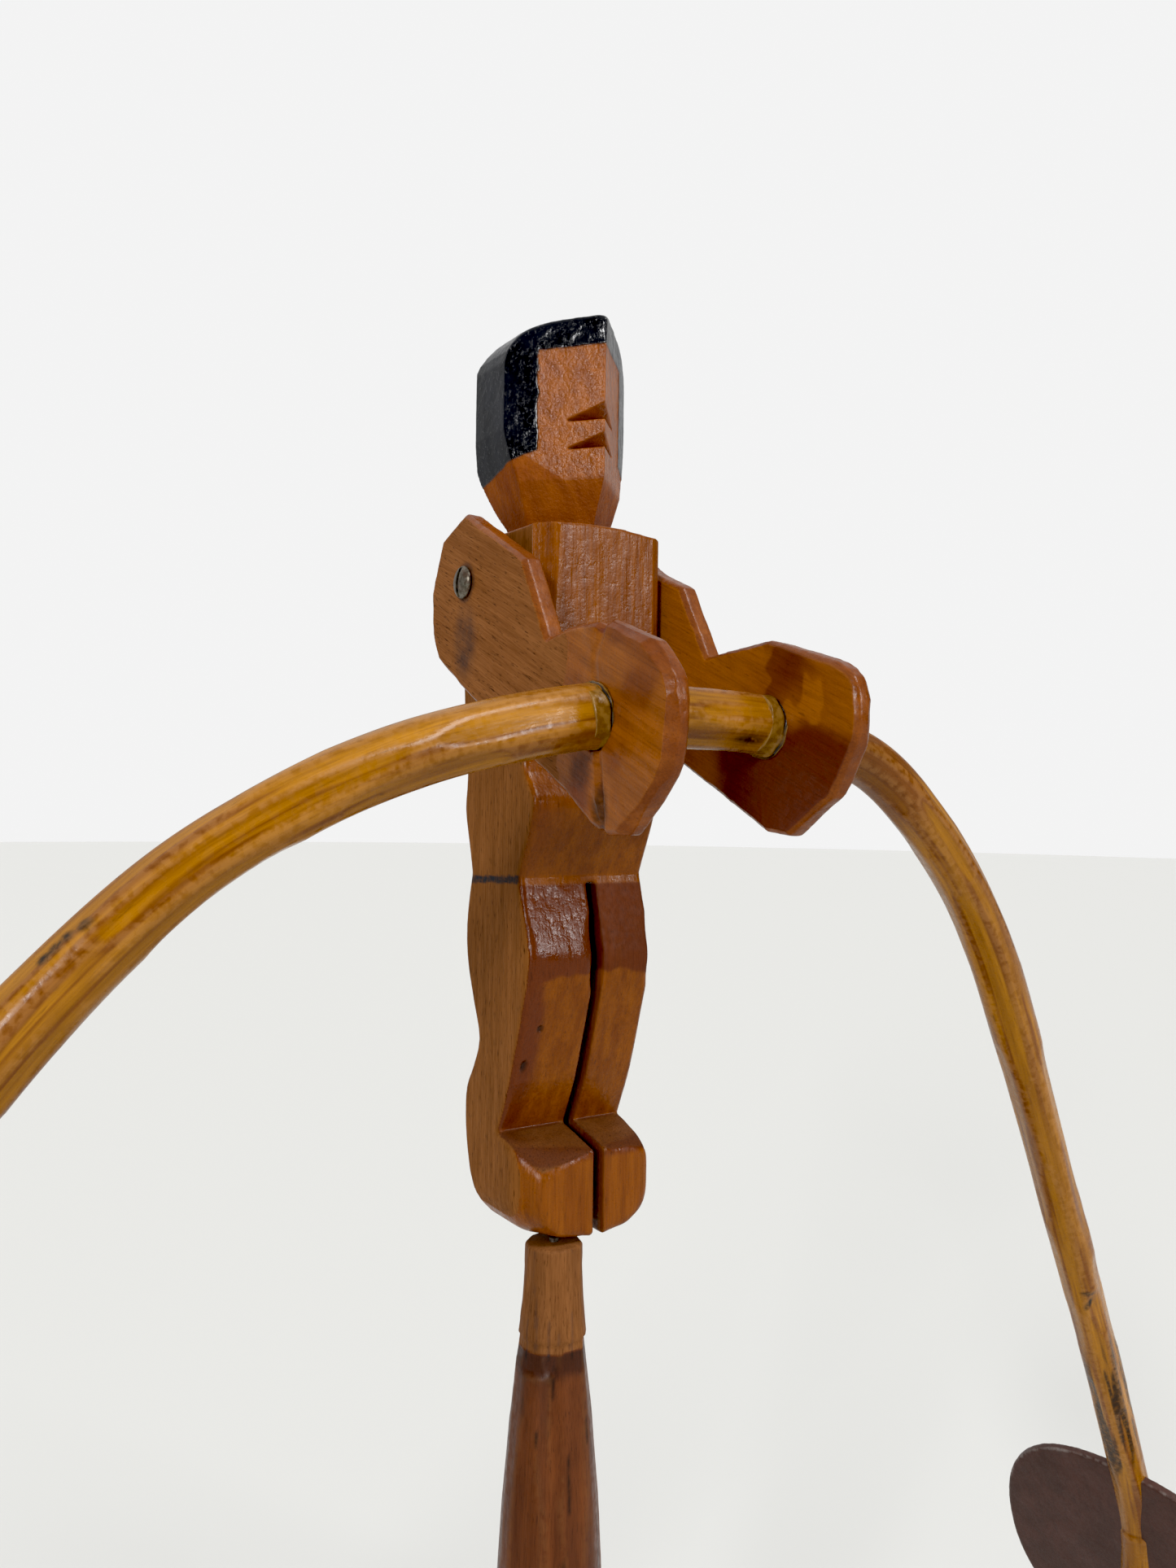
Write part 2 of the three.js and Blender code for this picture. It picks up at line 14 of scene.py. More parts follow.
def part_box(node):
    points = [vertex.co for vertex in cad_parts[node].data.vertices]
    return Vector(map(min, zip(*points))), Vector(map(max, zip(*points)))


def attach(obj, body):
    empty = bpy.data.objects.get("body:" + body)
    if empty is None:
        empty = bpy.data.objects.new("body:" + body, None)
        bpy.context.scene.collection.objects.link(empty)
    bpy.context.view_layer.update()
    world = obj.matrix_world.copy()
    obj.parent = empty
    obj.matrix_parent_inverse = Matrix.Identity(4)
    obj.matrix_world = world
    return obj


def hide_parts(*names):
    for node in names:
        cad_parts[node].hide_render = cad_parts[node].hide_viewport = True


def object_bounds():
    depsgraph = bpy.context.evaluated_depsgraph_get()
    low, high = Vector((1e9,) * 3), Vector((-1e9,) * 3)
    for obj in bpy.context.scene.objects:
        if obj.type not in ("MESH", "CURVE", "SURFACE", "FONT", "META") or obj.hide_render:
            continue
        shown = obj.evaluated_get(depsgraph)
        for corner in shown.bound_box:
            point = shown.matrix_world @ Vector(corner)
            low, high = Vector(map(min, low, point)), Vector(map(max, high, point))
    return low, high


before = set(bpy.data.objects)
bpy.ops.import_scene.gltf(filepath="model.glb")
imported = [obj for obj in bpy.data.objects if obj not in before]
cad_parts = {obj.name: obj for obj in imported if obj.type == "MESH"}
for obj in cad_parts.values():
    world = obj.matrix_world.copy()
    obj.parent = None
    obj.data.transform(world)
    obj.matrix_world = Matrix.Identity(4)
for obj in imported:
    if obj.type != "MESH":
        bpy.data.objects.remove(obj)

CAD_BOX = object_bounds()
MM = 0.001
BODY_LOW, BODY_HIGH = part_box("torso_and_legs")
FIGURE = np.array([(BODY_LOW[0] + BODY_HIGH[0]) / 2, BODY_LOW[1], BODY_LOW[2]])
SHOULDER = np.array([0, 18.2, 132.9])

# The balance pole: its highest point, how far its plane leans, its course as x and drop, its radii by x.
POLE_TOP = (-30.6, 103.7)
POLE_LEAN = 0.1524
POLE_COURSE = [
    (-219, 257.7), (-215.6, 246), (-212.7, 234), (-207.9, 220), (-197.8, 198), (-184.3, 173),
    (-170.8, 148), (-154.3, 118), (-137.3, 89), (-123.6, 66), (-108.5, 45.3), (-91.5, 28),
    (-78.3, 18.9), (-62.8, 11.3),
    (-45.6, 5.5), (-20.9, 0.5), (-1.3, 0), (19.3, 0.9), (44.6, 6.6), (62.7, 17.7), (77.8, 30.8),
    (90.5, 45.4), (104.8, 67), (119, 90), (136, 118.9), (153.8, 148.8), (168.4, 173.7), (183.5, 200),
    (194.2, 220), (199.7, 234), (203.1, 246.5), (206.4, 257.7)]
POLE_RADII = [(-225, 5.3), (-160, 5.5), (-109, 5.75), (-80, 5.4), (-56, 5.6), (20, 5.6), (45, 5.4),
              (105, 5.4), (130, 5.15), (160, 4.95), (190, 5), (207, 5.2)]
# The post: its radius at each distance below its top.
POST_RADII = [(0, 5.4), (0.5, 5.75), (5, 5.9), (11.5, 6.3), (17, 6.8), (20.5, 7.2), (28, 8), (36, 8.9),
              (52, 10.1), (65, 10.7), (110, 12.6), (160, 14.6), (205, 16.4), (226.8, 17.5)]


# ---------------------------------------------------------------- arrays
def smooth_step(value, low, high):
    t = np.clip((value - low) / (high - low), 0, 1)
    return t * t * (3 - 2 * t)


def below(value, full, none):
    """1 up to the value full, falling to 0 at the higher value none."""
    return smooth_step(-value, -none, -full)


def lumps(points, size, seed):
    """Smooth random values from -1 to 1 at points, in lumps of one size, or of one size for each axis."""
    q = np.asarray(points, float) / np.asarray(size, float) + 57.3 + 11.7 * seed
    cell = np.floor(q).astype(np.int64)
    f = q - cell
    f = f * f * (3 - 2 * f)
    total = np.zeros(len(q))
    for corner in np.ndindex(2, 2, 2):
        c = cell + corner
        code = c[:, 0] * 73856093 ^ c[:, 1] * 19349663 ^ c[:, 2] * 83492791 ^ (seed + 1) * 2654435761
        code = (code ^ (code >> 13)) * 1274126177 & 0x7FFFFFFF
        value = (code ^ (code >> 16)) % 65536 / 32767.5 - 1
        total += value * np.prod(np.where(corner, f, 1 - f), axis=1)
    return total


def roughly(points, size, seed, octaves=3):
    """Lumps with finer lumps on them, from about -1 to 1."""
    size = np.asarray(size, float)
    return sum(lumps(points, size / 2 ** k, seed + k) / 2 ** k for k in range(octaves)) / 1.5


def spot(points, centre, reach):
    """1 at a centre, falling to 0 at a reach along each axis."""
    away = np.linalg.norm((points - np.array(centre)) / np.array(reach), axis=1)
    return 1 - smooth_step(away, 0.35, 1)


def circle(sides):
    """Evenly spaced angles all the way round."""
    return np.arange(sides) * 2 * math.pi / sides


def round_stick(along, angle, radius):
    """A point on a straight stick for each distance along it and each angle round it."""
    return np.stack([np.repeat(along, len(angle)), np.tile(np.cos(angle) * radius, len(along)),
                     np.tile(np.sin(angle) * radius, len(along))], 1)


class Skin:
    """The vertices of a dense mesh, in millimetres in the figure's frame."""

    def __init__(self, obj):
        self.obj = obj
        mesh = obj.data
        flat = np.empty(len(mesh.vertices) * 3, np.float32)
        mesh.vertices.foreach_get("co", flat)
        self.p = (flat.reshape(-1, 3).astype(float) - FIGURE) / MM
        pairs = np.empty(len(mesh.edges) * 2, np.int32)
        mesh.edges.foreach_get("vertices", pairs)
        self.a, self.b = pairs.reshape(-1, 2).T
        self.count = np.bincount(pairs, minlength=len(self.p))
        self.read_normals()

    def read_normals(self):
        flat = np.empty(len(self.p) * 3, np.float32)
        self.obj.data.vertices.foreach_get("normal", flat)
        self.n = flat.reshape(-1, 3).astype(float)

    def around(self, values):
        """The mean of each vertex's neighbours."""
        size = len(self.p)
        total = np.bincount(self.a, values[self.b], size) + np.bincount(self.b, values[self.a], size)
        return total / np.maximum(self.count, 1)

    def spread(self, values, times):
        """Values blended with their neighbours', over and over."""
        for _ in range(times):
            values = (values + self.around(values)) / 2
        return values

    def ridge(self, times=6):
        """How much the surface bulges: above 0 on edges, below 0 in hollows, about 1 at a square edge."""
        mean = np.stack([self.around(self.p[:, k]) for k in range(3)], 1)
        bulge = np.einsum("ij,ij->i", self.p - mean, self.n)
        reach = np.sqrt(np.mean(np.sum((self.p[self.a] - self.p[self.b]) ** 2, axis=1)))
        return self.spread(bulge / reach, times) * math.sqrt(times) * 2

    def push(self, amount):
        """Moves the surface outwards, by millimetres."""
        self.p += self.n * np.asarray(amount)[:, None]

    def shave(self, point, normal, where=1.0, depth=3.0):
        """Cuts a flat with a knife: what stands less than a depth above the plane goes down to it."""
        normal = np.array(normal, float) / np.linalg.norm(normal)
        above = (self.p - np.array(point)) @ normal
        above = np.where(above < depth, np.maximum(above, 0), 0)
        self.p -= normal * (above * where)[:, None]

    def ease(self, where, times):
        """Rounds the surface off where asked."""
        for _ in range(times):
            mean = np.stack([self.around(self.p[:, k]) for k in range(3)], 1)
            self.p += 0.8 * where[:, None] * (mean - self.p)

    def keep_in(self):
        """Holds the vertices inside the CAD model's box."""
        low, high = (np.array(CAD_BOX) - FIGURE) / MM
        self.p = np.clip(self.p, low + 0.02, high - 0.02)

    def store(self):
        """Puts the vertices back on the mesh and works the normals out again."""
        mesh = self.obj.data
        mesh.vertices.foreach_set("co", (self.p * MM + FIGURE).astype(np.float32).ravel())
        mesh.update()
        self.read_normals()

    def paint(self, **values):
        """Stores a vector for each vertex as it is, or a number for each vertex held from 0 to 1."""
        for name, value in values.items():
            if np.ndim(value) == 2:
                layer = self.obj.data.attributes.new(name, "FLOAT_VECTOR", "POINT")
                layer.data.foreach_set("vector", np.asarray(value, np.float32).ravel())
            else:
                full = np.clip(np.broadcast_to(value, len(self.p)), 0, 1)
                layer = self.obj.data.attributes.new(name, "FLOAT", "POINT")
                layer.data.foreach_set("value", full.astype(np.float32))


# ---------------------------------------------------------------- making meshes
def link(obj):
    bpy.context.scene.collection.objects.link(obj)
    return obj


def settle(obj):
    """Applies an object's modifiers."""
    mesh = bpy.data.meshes.new_from_object(obj.evaluated_get(bpy.context.evaluated_depsgraph_get()))
    obj.modifiers.clear()
    obj.data = mesh
    return obj


def remade(name, node, voxel, rounds=4):
    """A dense copy of a CAD node, with its edges just eased."""
    obj = link(bpy.data.objects.new(name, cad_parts[node].data.copy()))
    weld = obj.modifiers.new("weld", "WELD")
    weld.merge_threshold = 1e-6
    remesh = obj.modifiers.new("remesh", "REMESH")
    remesh.mode = "VOXEL"
    remesh.voxel_size = voxel * MM
    ease = obj.modifiers.new("ease", "SMOOTH")
    ease.iterations = rounds
    settle(obj)
    finish_mesh(obj)
    return obj


def finish_mesh(obj):
    """Smooth shading, and no material yet."""
    obj.data.materials.clear()
    obj.data.polygons.foreach_set("use_smooth", np.ones(len(obj.data.polygons), bool))
    obj.data.update()


def from_grid(name, rings):
    """A closed tube from rings of points in the figure's frame, with a point amid each end."""
    count, around, _ = rings.shape
    points = rings.reshape(-1, 3)
    ends = np.array([rings[0].mean(0), rings[-1].mean(0)])
    index = np.arange(count * around).reshape(count, around)
    nxt = np.roll(index, -1, axis=1)
    quads = np.stack([index[:-1], nxt[:-1], nxt[1:], index[1:]], -1).reshape(-1, 4)
    first, last = count * around, count * around + 1
    fans = [(nxt[0, k], index[0, k], first) for k in range(around)]
    fans += [(index[-1, k], nxt[-1, k], last) for k in range(around)]
    every_face = np.vstack([quads, [fan + fan[-1:] for fan in fans]])
    a, b, c, d = (np.vstack([points, ends])[every_face] - points[0]).transpose(1, 0, 2)
    volume = np.sum(a * np.cross(b, c)) + np.sum(a * np.cross(c, d))
    faces = [face if volume > 0 else face[::-1] for face in quads.tolist() + fans]
    mesh = bpy.data.meshes.new(name)
    mesh.from_pydata((np.vstack([points, ends]) * MM + FIGURE).tolist(), [], faces)
    obj = link(bpy.data.objects.new(name, mesh))
    finish_mesh(obj)
    return obj


def whittle(along, radius, strokes, seed, width, length):
    """Radii for distances along a stick and angles round it, cut down by many flat knife strokes."""
    pick = random.Random(seed)
    angles = circle(radius.shape[1])
    cut = radius.copy()
    for _ in range(strokes):
        middle = pick.uniform(along[0], along[-1])
        half = pick.uniform(*length) / 2
        facing = pick.uniform(0, 2 * math.pi)
        twist = pick.uniform(-0.12, 0.12)
        flat = pick.uniform(*width)
        rows = np.nonzero(np.abs(along - middle) < half)[0]
        if len(rows) < 3:
            continue
        u = (along[rows] - middle) / half
        size = radius[rows].mean(axis=1)
        depth = np.minimum(flat ** 2 / (8 * size), 0.16 * size) * (1 - u ** 4)
        turn = (angles[None, :] - facing - twist * u[:, None] + math.pi) % (2 * math.pi) - math.pi
        plane = (size - depth)[:, None] / np.maximum(np.cos(turn), 0.2)
        cut[rows] = np.where(np.abs(turn) < 1.2, np.minimum(cut[rows], plane), cut[rows])
    return cut


def leave_bare(obj, bare, material):
    """Gives a mesh a second material on the faces where bare is above a half."""
    mesh = obj.data
    corners = np.empty(len(mesh.loops), np.int32)
    mesh.loops.foreach_get("vertex_index", corners)
    starts = np.empty(len(mesh.polygons), np.int32)
    mesh.polygons.foreach_get("loop_start", starts)
    sizes = np.diff(np.append(starts, len(corners)))
    share = np.add.reduceat(np.broadcast_to(bare, len(mesh.vertices))[corners], starts) / sizes
    mesh.materials.append(material)
    mesh.polygons.foreach_set("material_index", (share > 0.5).astype(np.int32))
    mesh.update()


def put(obj, body, material, slot, *nodes):
    """Gives a piece its material and body, and hides the CAD nodes that it stands in for; the slot
    argument is not used.
    """
    obj.data.materials.append(material)
    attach(obj, body)
    if nodes:
        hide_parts(*nodes)
    return obj


# ---------------------------------------------------------------- materials
def rgb(code):
    """A colour in linear light from its usual hexadecimal code."""
    parts = [int(code[k:k + 2], 16) / 255 for k in (0, 2, 4)]
    return tuple(c / 12.92 if c < 0.04045 else ((c + 0.055) / 1.055) ** 2.4 for c in parts) + (1,)


class Graph:
    """A node material, built from sockets."""

    def __init__(self, name, **shader):
        self.material = bpy.data.materials.new(name)
        self.material.use_nodes = True
        self.tree = self.material.node_tree
        self.shader = self.tree.nodes["Principled BSDF"]
        for key, value in shader.items():
            self.shader.inputs[key.replace("_", " ")].default_value = value

    def node(self, kind, feeds, **settings):
        made = self.tree.nodes.new("ShaderNode" + kind)
        for key, value in settings.items():
            setattr(made, key, value)
        for key, value in feeds.items():
            self.feed(made.inputs[key], value)
        return made

    def feed(self, socket, value):
        if isinstance(value, bpy.types.NodeSocket):
            self.tree.links.new(value, socket)
        else:
            socket.default_value = value

    def number(self, name):
        return self.node("Attribute", {}, attribute_name=name).outputs["Fac"]

    def vector(self, name):
        return self.node("Attribute", {}, attribute_name=name).outputs["Vector"]

    def place(self):
        """Where a point is on the object at rest, in millimetres."""
        metres = self.node("TexCoord", {}).outputs["Object"]
        return self.node("VectorMath", {0: metres, 1: (1 / MM,) * 3}, operation="MULTIPLY").outputs[0]

    def noise(self, vector, across, along=None, detail=3.0, rough=0.55, seed=0.0):
        """Random values about 0.5, in lumps of one size across and another along the third axis."""
        along = along or across
        scaled = self.node("VectorMath", {0: vector, 1: (1 / across, 1 / across, 1 / along),
                                          2: (seed, seed * 1.7, seed * 0.6)},
                           operation="MULTIPLY_ADD").outputs[0]
        return self.node("TexNoise", {"Vector": scaled, "Scale": 1.0, "Detail": detail,
                                      "Roughness": rough}).outputs["Fac"]

    def band(self, value, low, high, start=0.0, end=1.0):
        """Goes smoothly from start to end while the value goes from low to high."""
        feeds = {"Value": value, "From Min": low, "From Max": high, "To Min": start, "To Max": end}
        return self.node("MapRange", feeds, interpolation_type="SMOOTHSTEP").outputs["Result"]

    def maths(self, kind, a, b=0.0):
        return self.node("Math", {0: a, 1: b}, operation=kind).outputs[0]

    def mix(self, amount, a, b, blend="MIX"):
        made = self.node("Mix", {"Factor": amount}, data_type="RGBA", blend_type=blend)
        self.feed(made.inputs[6], a)
        self.feed(made.inputs[7], b)
        return made.outputs[2]

    def blend(self, amount, a, b):
        made = self.node("Mix", {"Factor": amount}, data_type="FLOAT")
        self.feed(made.inputs[2], a)
        self.feed(made.inputs[3], b)
        return made.outputs[0]

    def colour(self, value):
        self.feed(self.shader.inputs["Base Color"], value)

    def roughness(self, value):
        self.feed(self.shader.inputs["Roughness"], value)

    def bumps(self, *layers):
        """Each layer is a height from 0 to 1 and its real depth in millimetres."""
        normal = None
        for height, depth in layers:
            feeds = {"Height": height, "Distance": depth * MM, "Strength": 1.0}
            if normal is not None:
                feeds["Normal"] = normal
            normal = self.node("Bump", feeds).outputs["Normal"]
        self.feed(self.shader.inputs["Normal"], normal)


def varnished(name, pale, deep, stain_and_shade, gloss=0.3, pits=0.02, wrinkle=0.04, streaks=0.03, fleck=0.4):
    """Glossy wood. Painted values say where it is stained or dirty, where edges are pale from wear, where
    painted shade and painted highlights lie, and how its grain lies; painted shade darkens to the same
    colour as the staining.
    """
    g = Graph(name, Specular_IOR_Level=0.22)
    grain = g.vector("grain")
    rings = g.noise(grain, 2.4, 46, detail=5, rough=0.6)
    fibre = g.noise(grain, 0.34, 9, detail=3, rough=0.65, seed=3.1)
    flecks = g.noise(grain, 0.42, 3.2, detail=2, rough=0.6, seed=7.7)
    clouds = g.noise(grain, 9, 26, detail=4, seed=5.3)
    ripples = g.noise(grain, 0.9, 14, detail=2, rough=0.5, seed=2.6)
    skin = g.noise(g.place(), 1.5, detail=3, rough=0.5, seed=1.9)
    pores = g.noise(g.place(), 0.5, detail=2, rough=0.5, seed=9.2)
    base = g.mix(g.band(rings, 0.34, 0.66), rgb(pale), rgb(deep))
    base = g.mix(g.maths("MULTIPLY", g.band(clouds, 0.36, 0.72), 0.5), base, rgb(deep))
    base = g.mix(g.number("sap"), base, rgb("ae6c26"))
    tone = g.maths("ADD", g.number("tone"), g.maths("MULTIPLY", g.maths("SUBTRACT", clouds, 0.5), 0.6))
    base = g.mix(g.band(tone, 0.1, 0.95), base, rgb(stain_and_shade))
    base = g.mix(g.band(fibre, 0.4, 0.75, 0, 0.3), base, rgb(stain_and_shade), "MULTIPLY")
    base = g.mix(g.maths("MULTIPLY", g.band(flecks, 0.62, 0.74), fleck), base, rgb("2a140a"))
    grime = g.band(g.noise(g.place(), 1.1, detail=4, seed=4.4), 0.2, 0.6, 0.5, 1)
    base = g.mix(g.maths("MULTIPLY", g.number("dirt"), grime), base, rgb("120a06"))
    worn = g.maths("MULTIPLY", g.number("worn"), g.band(skin, 0.3, 0.6))
    g.colour(g.mix(worn, base, rgb("b9854c")))
    g.roughness(g.maths("ADD", g.number("matt"), g.band(skin, 0.3, 0.7, gloss - 0.06, gloss + 0.1)))
    g.bumps((skin, wrinkle), (ripples, streaks), (pores, pits))
    return g.material


def unvarnished(name, pale, deep, fleck=0.7):
    """Dull wood with open pores: short dark dashes along the grain."""
    g = Graph(name, Specular_IOR_Level=0.06)
    grain = g.vector("grain")
    rings = g.noise(grain, 2.1, 40, detail=5, rough=0.6, seed=1.3)
    fibre = g.noise(grain, 0.3, 8, detail=3, rough=0.65, seed=3.1)
    flecks = g.noise(grain, 0.36, 2.6, detail=2, rough=0.6, seed=7.7)
    smudge = g.noise(g.place(), 8, detail=4, seed=6.3)
    base = g.mix(g.band(rings, 0.3, 0.7), rgb(pale), rgb(deep))
    base = g.mix(g.band(smudge, 0.35, 0.75, 0, 0.35), base, rgb(deep))
    base = g.mix(g.band(g.number("tone"), 0.1, 0.95), base, rgb("5e3216"))
    base = g.mix(g.band(fibre, 0.35, 0.7, 0, 0.3), base, rgb("6a4526"), "MULTIPLY")
    base = g.mix(g.maths("MULTIPLY", g.band(flecks, 0.58, 0.7), fleck), base, rgb("30190c"))
    grime = g.band(g.noise(g.place(), 1.1, detail=4, seed=4.4), 0.2, 0.6, 0.5, 1)
    base = g.mix(g.maths("MULTIPLY", g.number("dirt"), grime), base, rgb("2b2c31"))
    g.colour(g.mix(g.number("worn"), base, rgb("a9784a")))
    g.roughness(g.band(fibre, 0.3, 0.7, 0.5, 0.66))
    g.bumps((fibre, 0.04), (flecks, 0.05))
    return g.material


def painted_head(name, shine):
    """The head's varnish, pitted by sandpaper, with thick glossy black paint where the hair is."""
    g = Graph(name, Specular_IOR_Level=shine)
    grain = g.vector("grain")
    place = g.place()
    rings = g.noise(grain, 2.2, 30, detail=5)
    scratches = g.noise(grain, 0.3, 3.2, detail=3, seed=2.2)
    pits = g.noise(place, 0.75, detail=3, rough=0.6, seed=6.1)
    swells = g.noise(place, 2.6, detail=2, seed=3.7)
    clouds = g.noise(place, 7, detail=4, seed=8.8)
    hair = g.number("hair")
    skin = g.mix(g.band(rings, 0.33, 0.68), rgb("94500c"), rgb("7c3f08"))
    tone = g.maths("ADD", g.number("tone"), g.maths("MULTIPLY", g.maths("SUBTRACT", clouds, 0.5), 0.8))
    skin = g.mix(g.band(tone, 0.1, 0.95), skin, rgb("6c2f06"))
    skin = g.mix(g.band(scratches, 0.5, 0.8, 0, 0.2), skin, rgb("a06a38"))
    skin = g.mix(g.number("dirt"), skin, rgb("2a120a"))
    paint = g.mix(g.band(clouds, 0.4, 0.7), rgb("0c0d12"), rgb("13151d"))
    paint = g.mix(g.number("worn"), paint, rgb("b07c48"))
    g.colour(g.mix(hair, skin, paint))
    g.roughness(g.maths("ADD", g.number("matt"), g.blend(hair, g.band(pits, 0.3, 0.7, 0.17, 0.27), 0.1)))
    specks = g.blend(hair, pits, g.maths("MULTIPLY", g.band(pits, 0.58, 0.7), 0.3))
    swells = g.blend(hair, swells, g.maths("MULTIPLY", swells, 0.32))
    g.bumps((swells, 0.12), (specks, 0.24), (scratches, 0.03))
    return g.material


def metal(name, dark, light, roughness, rust=None):
    """Scratched metal, blotched from dark to light, with rust in patches if it has a colour for it."""
    g = Graph(name, Metallic=1.0)
    place = g.place()
    blotches = g.noise(place, 1.2, detail=6, rough=0.65)
    scratches = g.noise(place, 0.25, 3.0, detail=2, seed=3.3)
    base = g.mix(g.band(blotches, 0.32, 0.68), rgb(dark), rgb(light))
    if rust:
        patches = g.band(g.noise(place, 2.64, detail=7, rough=0.7, seed=5.0), 0.45, 0.62)
        base = g.mix(patches, base, rgb(rust))
        g.feed(g.shader.inputs["Metallic"], g.band(patches, 0, 1, 1.0, 0.15))
    g.colour(base)
    g.roughness(g.band(blotches, 0.3, 0.7, roughness - 0.08, roughness + 0.15))
    g.bumps((blotches, 0.02), (scratches, 0.01))
    return g.material


def iron(name):
    """Sheet steel gone dark brown, with pale specks, and pale grey along its edges as a painted
    highlight.
    """
    g = Graph(name, Specular_IOR_Level=0.35)
    place = g.place()
    clouds = g.noise(place, 11, detail=5, rough=0.6)
    grit = g.noise(place, 0.5, detail=4, rough=0.7, seed=2.7)
    streaks = g.noise(place, 1.2, 9, detail=4, seed=6.6)
    base = g.mix(g.band(clouds, 0.33, 0.66), rgb("3b231b"), rgb("462a22"))
    base = g.mix(g.band(streaks, 0.45, 0.7, 0, 0.5), base, rgb("331d18"))
    base = g.mix(g.band(grit, 0.66, 0.78, 0, 0.5), base, rgb("8a7468"))
    # Painted highlight: pale grey in patches along the disc's edges.
    highlight_patches = g.band(g.noise(place, 1.6, detail=3, seed=8.1), 0.35, 0.6)
    g.colour(g.mix(g.maths("MULTIPLY", g.number("worn"), highlight_patches), base, rgb("8d8580")))
    g.roughness(g.band(grit, 0.3, 0.7, 0.36, 0.58))
    g.bumps((clouds, 0.25), (grit, 0.03))
    return g.material


def glue(name):
    """Old glue, varnished over in the colour of the pole, with dark cracks."""
    g = Graph(name, Specular_IOR_Level=0.4)
    place = g.place()
    cloudy = g.noise(place, 1.6, detail=4)
    base = g.mix(g.band(cloudy, 0.35, 0.65), rgb("6e4a12"), rgb("8a6426"))
    g.colour(g.mix(g.number("dirt"), base, rgb("120a05")))
    g.roughness(g.band(cloudy, 0.3, 0.7, 0.2, 0.4))
    g.bumps((cloudy, 0.15),)
    return g.material


def felt(name):
    """Green wool felt, a little matted."""
    g = Graph(name, Roughness=0.95, Sheen_Weight=0.3)
    place = g.place()
    fuzz = g.noise(place, 0.5, detail=5, rough=0.75)
    clouds = g.noise(place, 6, detail=3, seed=4.0)
    base = g.mix(g.band(fuzz, 0.3, 0.7), rgb("1f3a28"), rgb("3c5a44"))
    g.colour(g.mix(g.band(clouds, 0.3, 0.7, 0, 0.4), base, rgb("2a3d2e")))
    g.bumps((fuzz, 0.3),)
    return g.material


FIGURE_WOOD = varnished("figure_wood", "84490a", "6e3807", "5e2c10", gloss=0.22, pits=0.05, wrinkle=0.08,
                        streaks=0.09)
FIGURE_RAW = unvarnished("figure_raw_wood", "89582e", "764a24")
ARM_WOOD = varnished("arm_wood", "94541c", "7c4414", "5c2810", pits=0.03, wrinkle=0.07, streaks=0.06)
ARM_RAW = unvarnished("arm_raw_wood", "925f36", "7e4f2a")
POLE_WOOD = varnished("pole_wood", "a9721a", "8b5a10", "704010", gloss=0.25, pits=0.01, fleck=0.3)
POST_WOOD = varnished("post_wood", "673718", "572d13", "42200f", gloss=0.4, fleck=0.5)
POST_RAW = unvarnished("post_raw_wood", "845733", "70492b", fleck=0.4)
BASE_WOOD = varnished("base_wood", "60351b", "4f2914", "381a0e", gloss=0.34, fleck=0.6)
DOWEL_WOOD = unvarnished("dowel_wood", "b08a58", "9c7546", fleck=0.3)
HEAD_PAINT = painted_head("head_paint", 0.36)
JAW_WOOD = painted_head("jaw_wood", 0.14)
IRON = iron("dark_iron")
SCREW_STEEL = metal("screw_steel", "4c463c", "8f897c", 0.36, rust="4a3524")
PIN_STEEL = metal("pin_steel", "5a554e", "9a958c", 0.34, rust="53392a")
BRASS = metal("brass", "4a3718", "8a6c38", 0.36)
GLUE = glue("glue")
FELT = felt("felt")


# ---------------------------------------------------------------- the plank: torso and legs
KERF_CENTRE = 1.9
PENCIL_LEVEL = 71.9
THIGH_VARNISH_END = 53.2
# Knife flats down the chest's corners: a point, the way each faces, and the heights where it starts.
CHEST_FLATS = (((-11.2, 0, 120), (-0.5, -0.86, 0.02), 99, 106),
               ((12.8, 0, 120), (0.5, -0.86, 0), 104, 110))
# Two dark pits in the near shin: a centre and how tall it is.
SHIN_PITS = (((-10.2, 4.8, 42.4), 1.1), ((-12.6, 7, 34.7), 1.9))


def roughen_body(s):
    """Flats on the chest's corners, eased toes and thighs, and faces that are nowhere quite flat."""
    x, y, z = s.p.T
    front = smooth_step(-s.n[:, 1], 0.3, 0.8)
    for point, facing, start, full in CHEST_FLATS:
        s.shave(point, facing, smooth_step(z, start, full))
    toes = below(z, 18.5, 21) * below(y, 7, 12) * smooth_step(np.abs(x - KERF_CENTRE), 1.6, 3.5)
    s.ease(toes, 36)
    s.ease(smooth_step(z, 49, 53) * below(z, 60, 66) * below(y, 8, 12), 45)
    s.store()
    s.push(front * (0.16 * roughly(s.p, (7, 7, 16), 1) + 0.05 * roughly(s.p, (2, 2, 5), 4)))
    s.push(0.06 * roughly(s.p, (9, 9, 22), 8) + 0.02 * roughly(s.p, 1.2, 12, 2))
    s.store()


def pencil_line(s, side):
    """The joiner's line across both sawn sides at the hips."""
    _, y, z = s.p.T
    level = PENCIL_LEVEL - 0.06 * (y - 15) + 0.25 * lumps(s.p, (1, 1, 1), 31)
    line = (1 - smooth_step(np.abs(z - level), 0.5, 0.95)) * side
    return line * (0.72 + 0.28 * lumps(s.p, (0.5, 0.5, 3), 33))


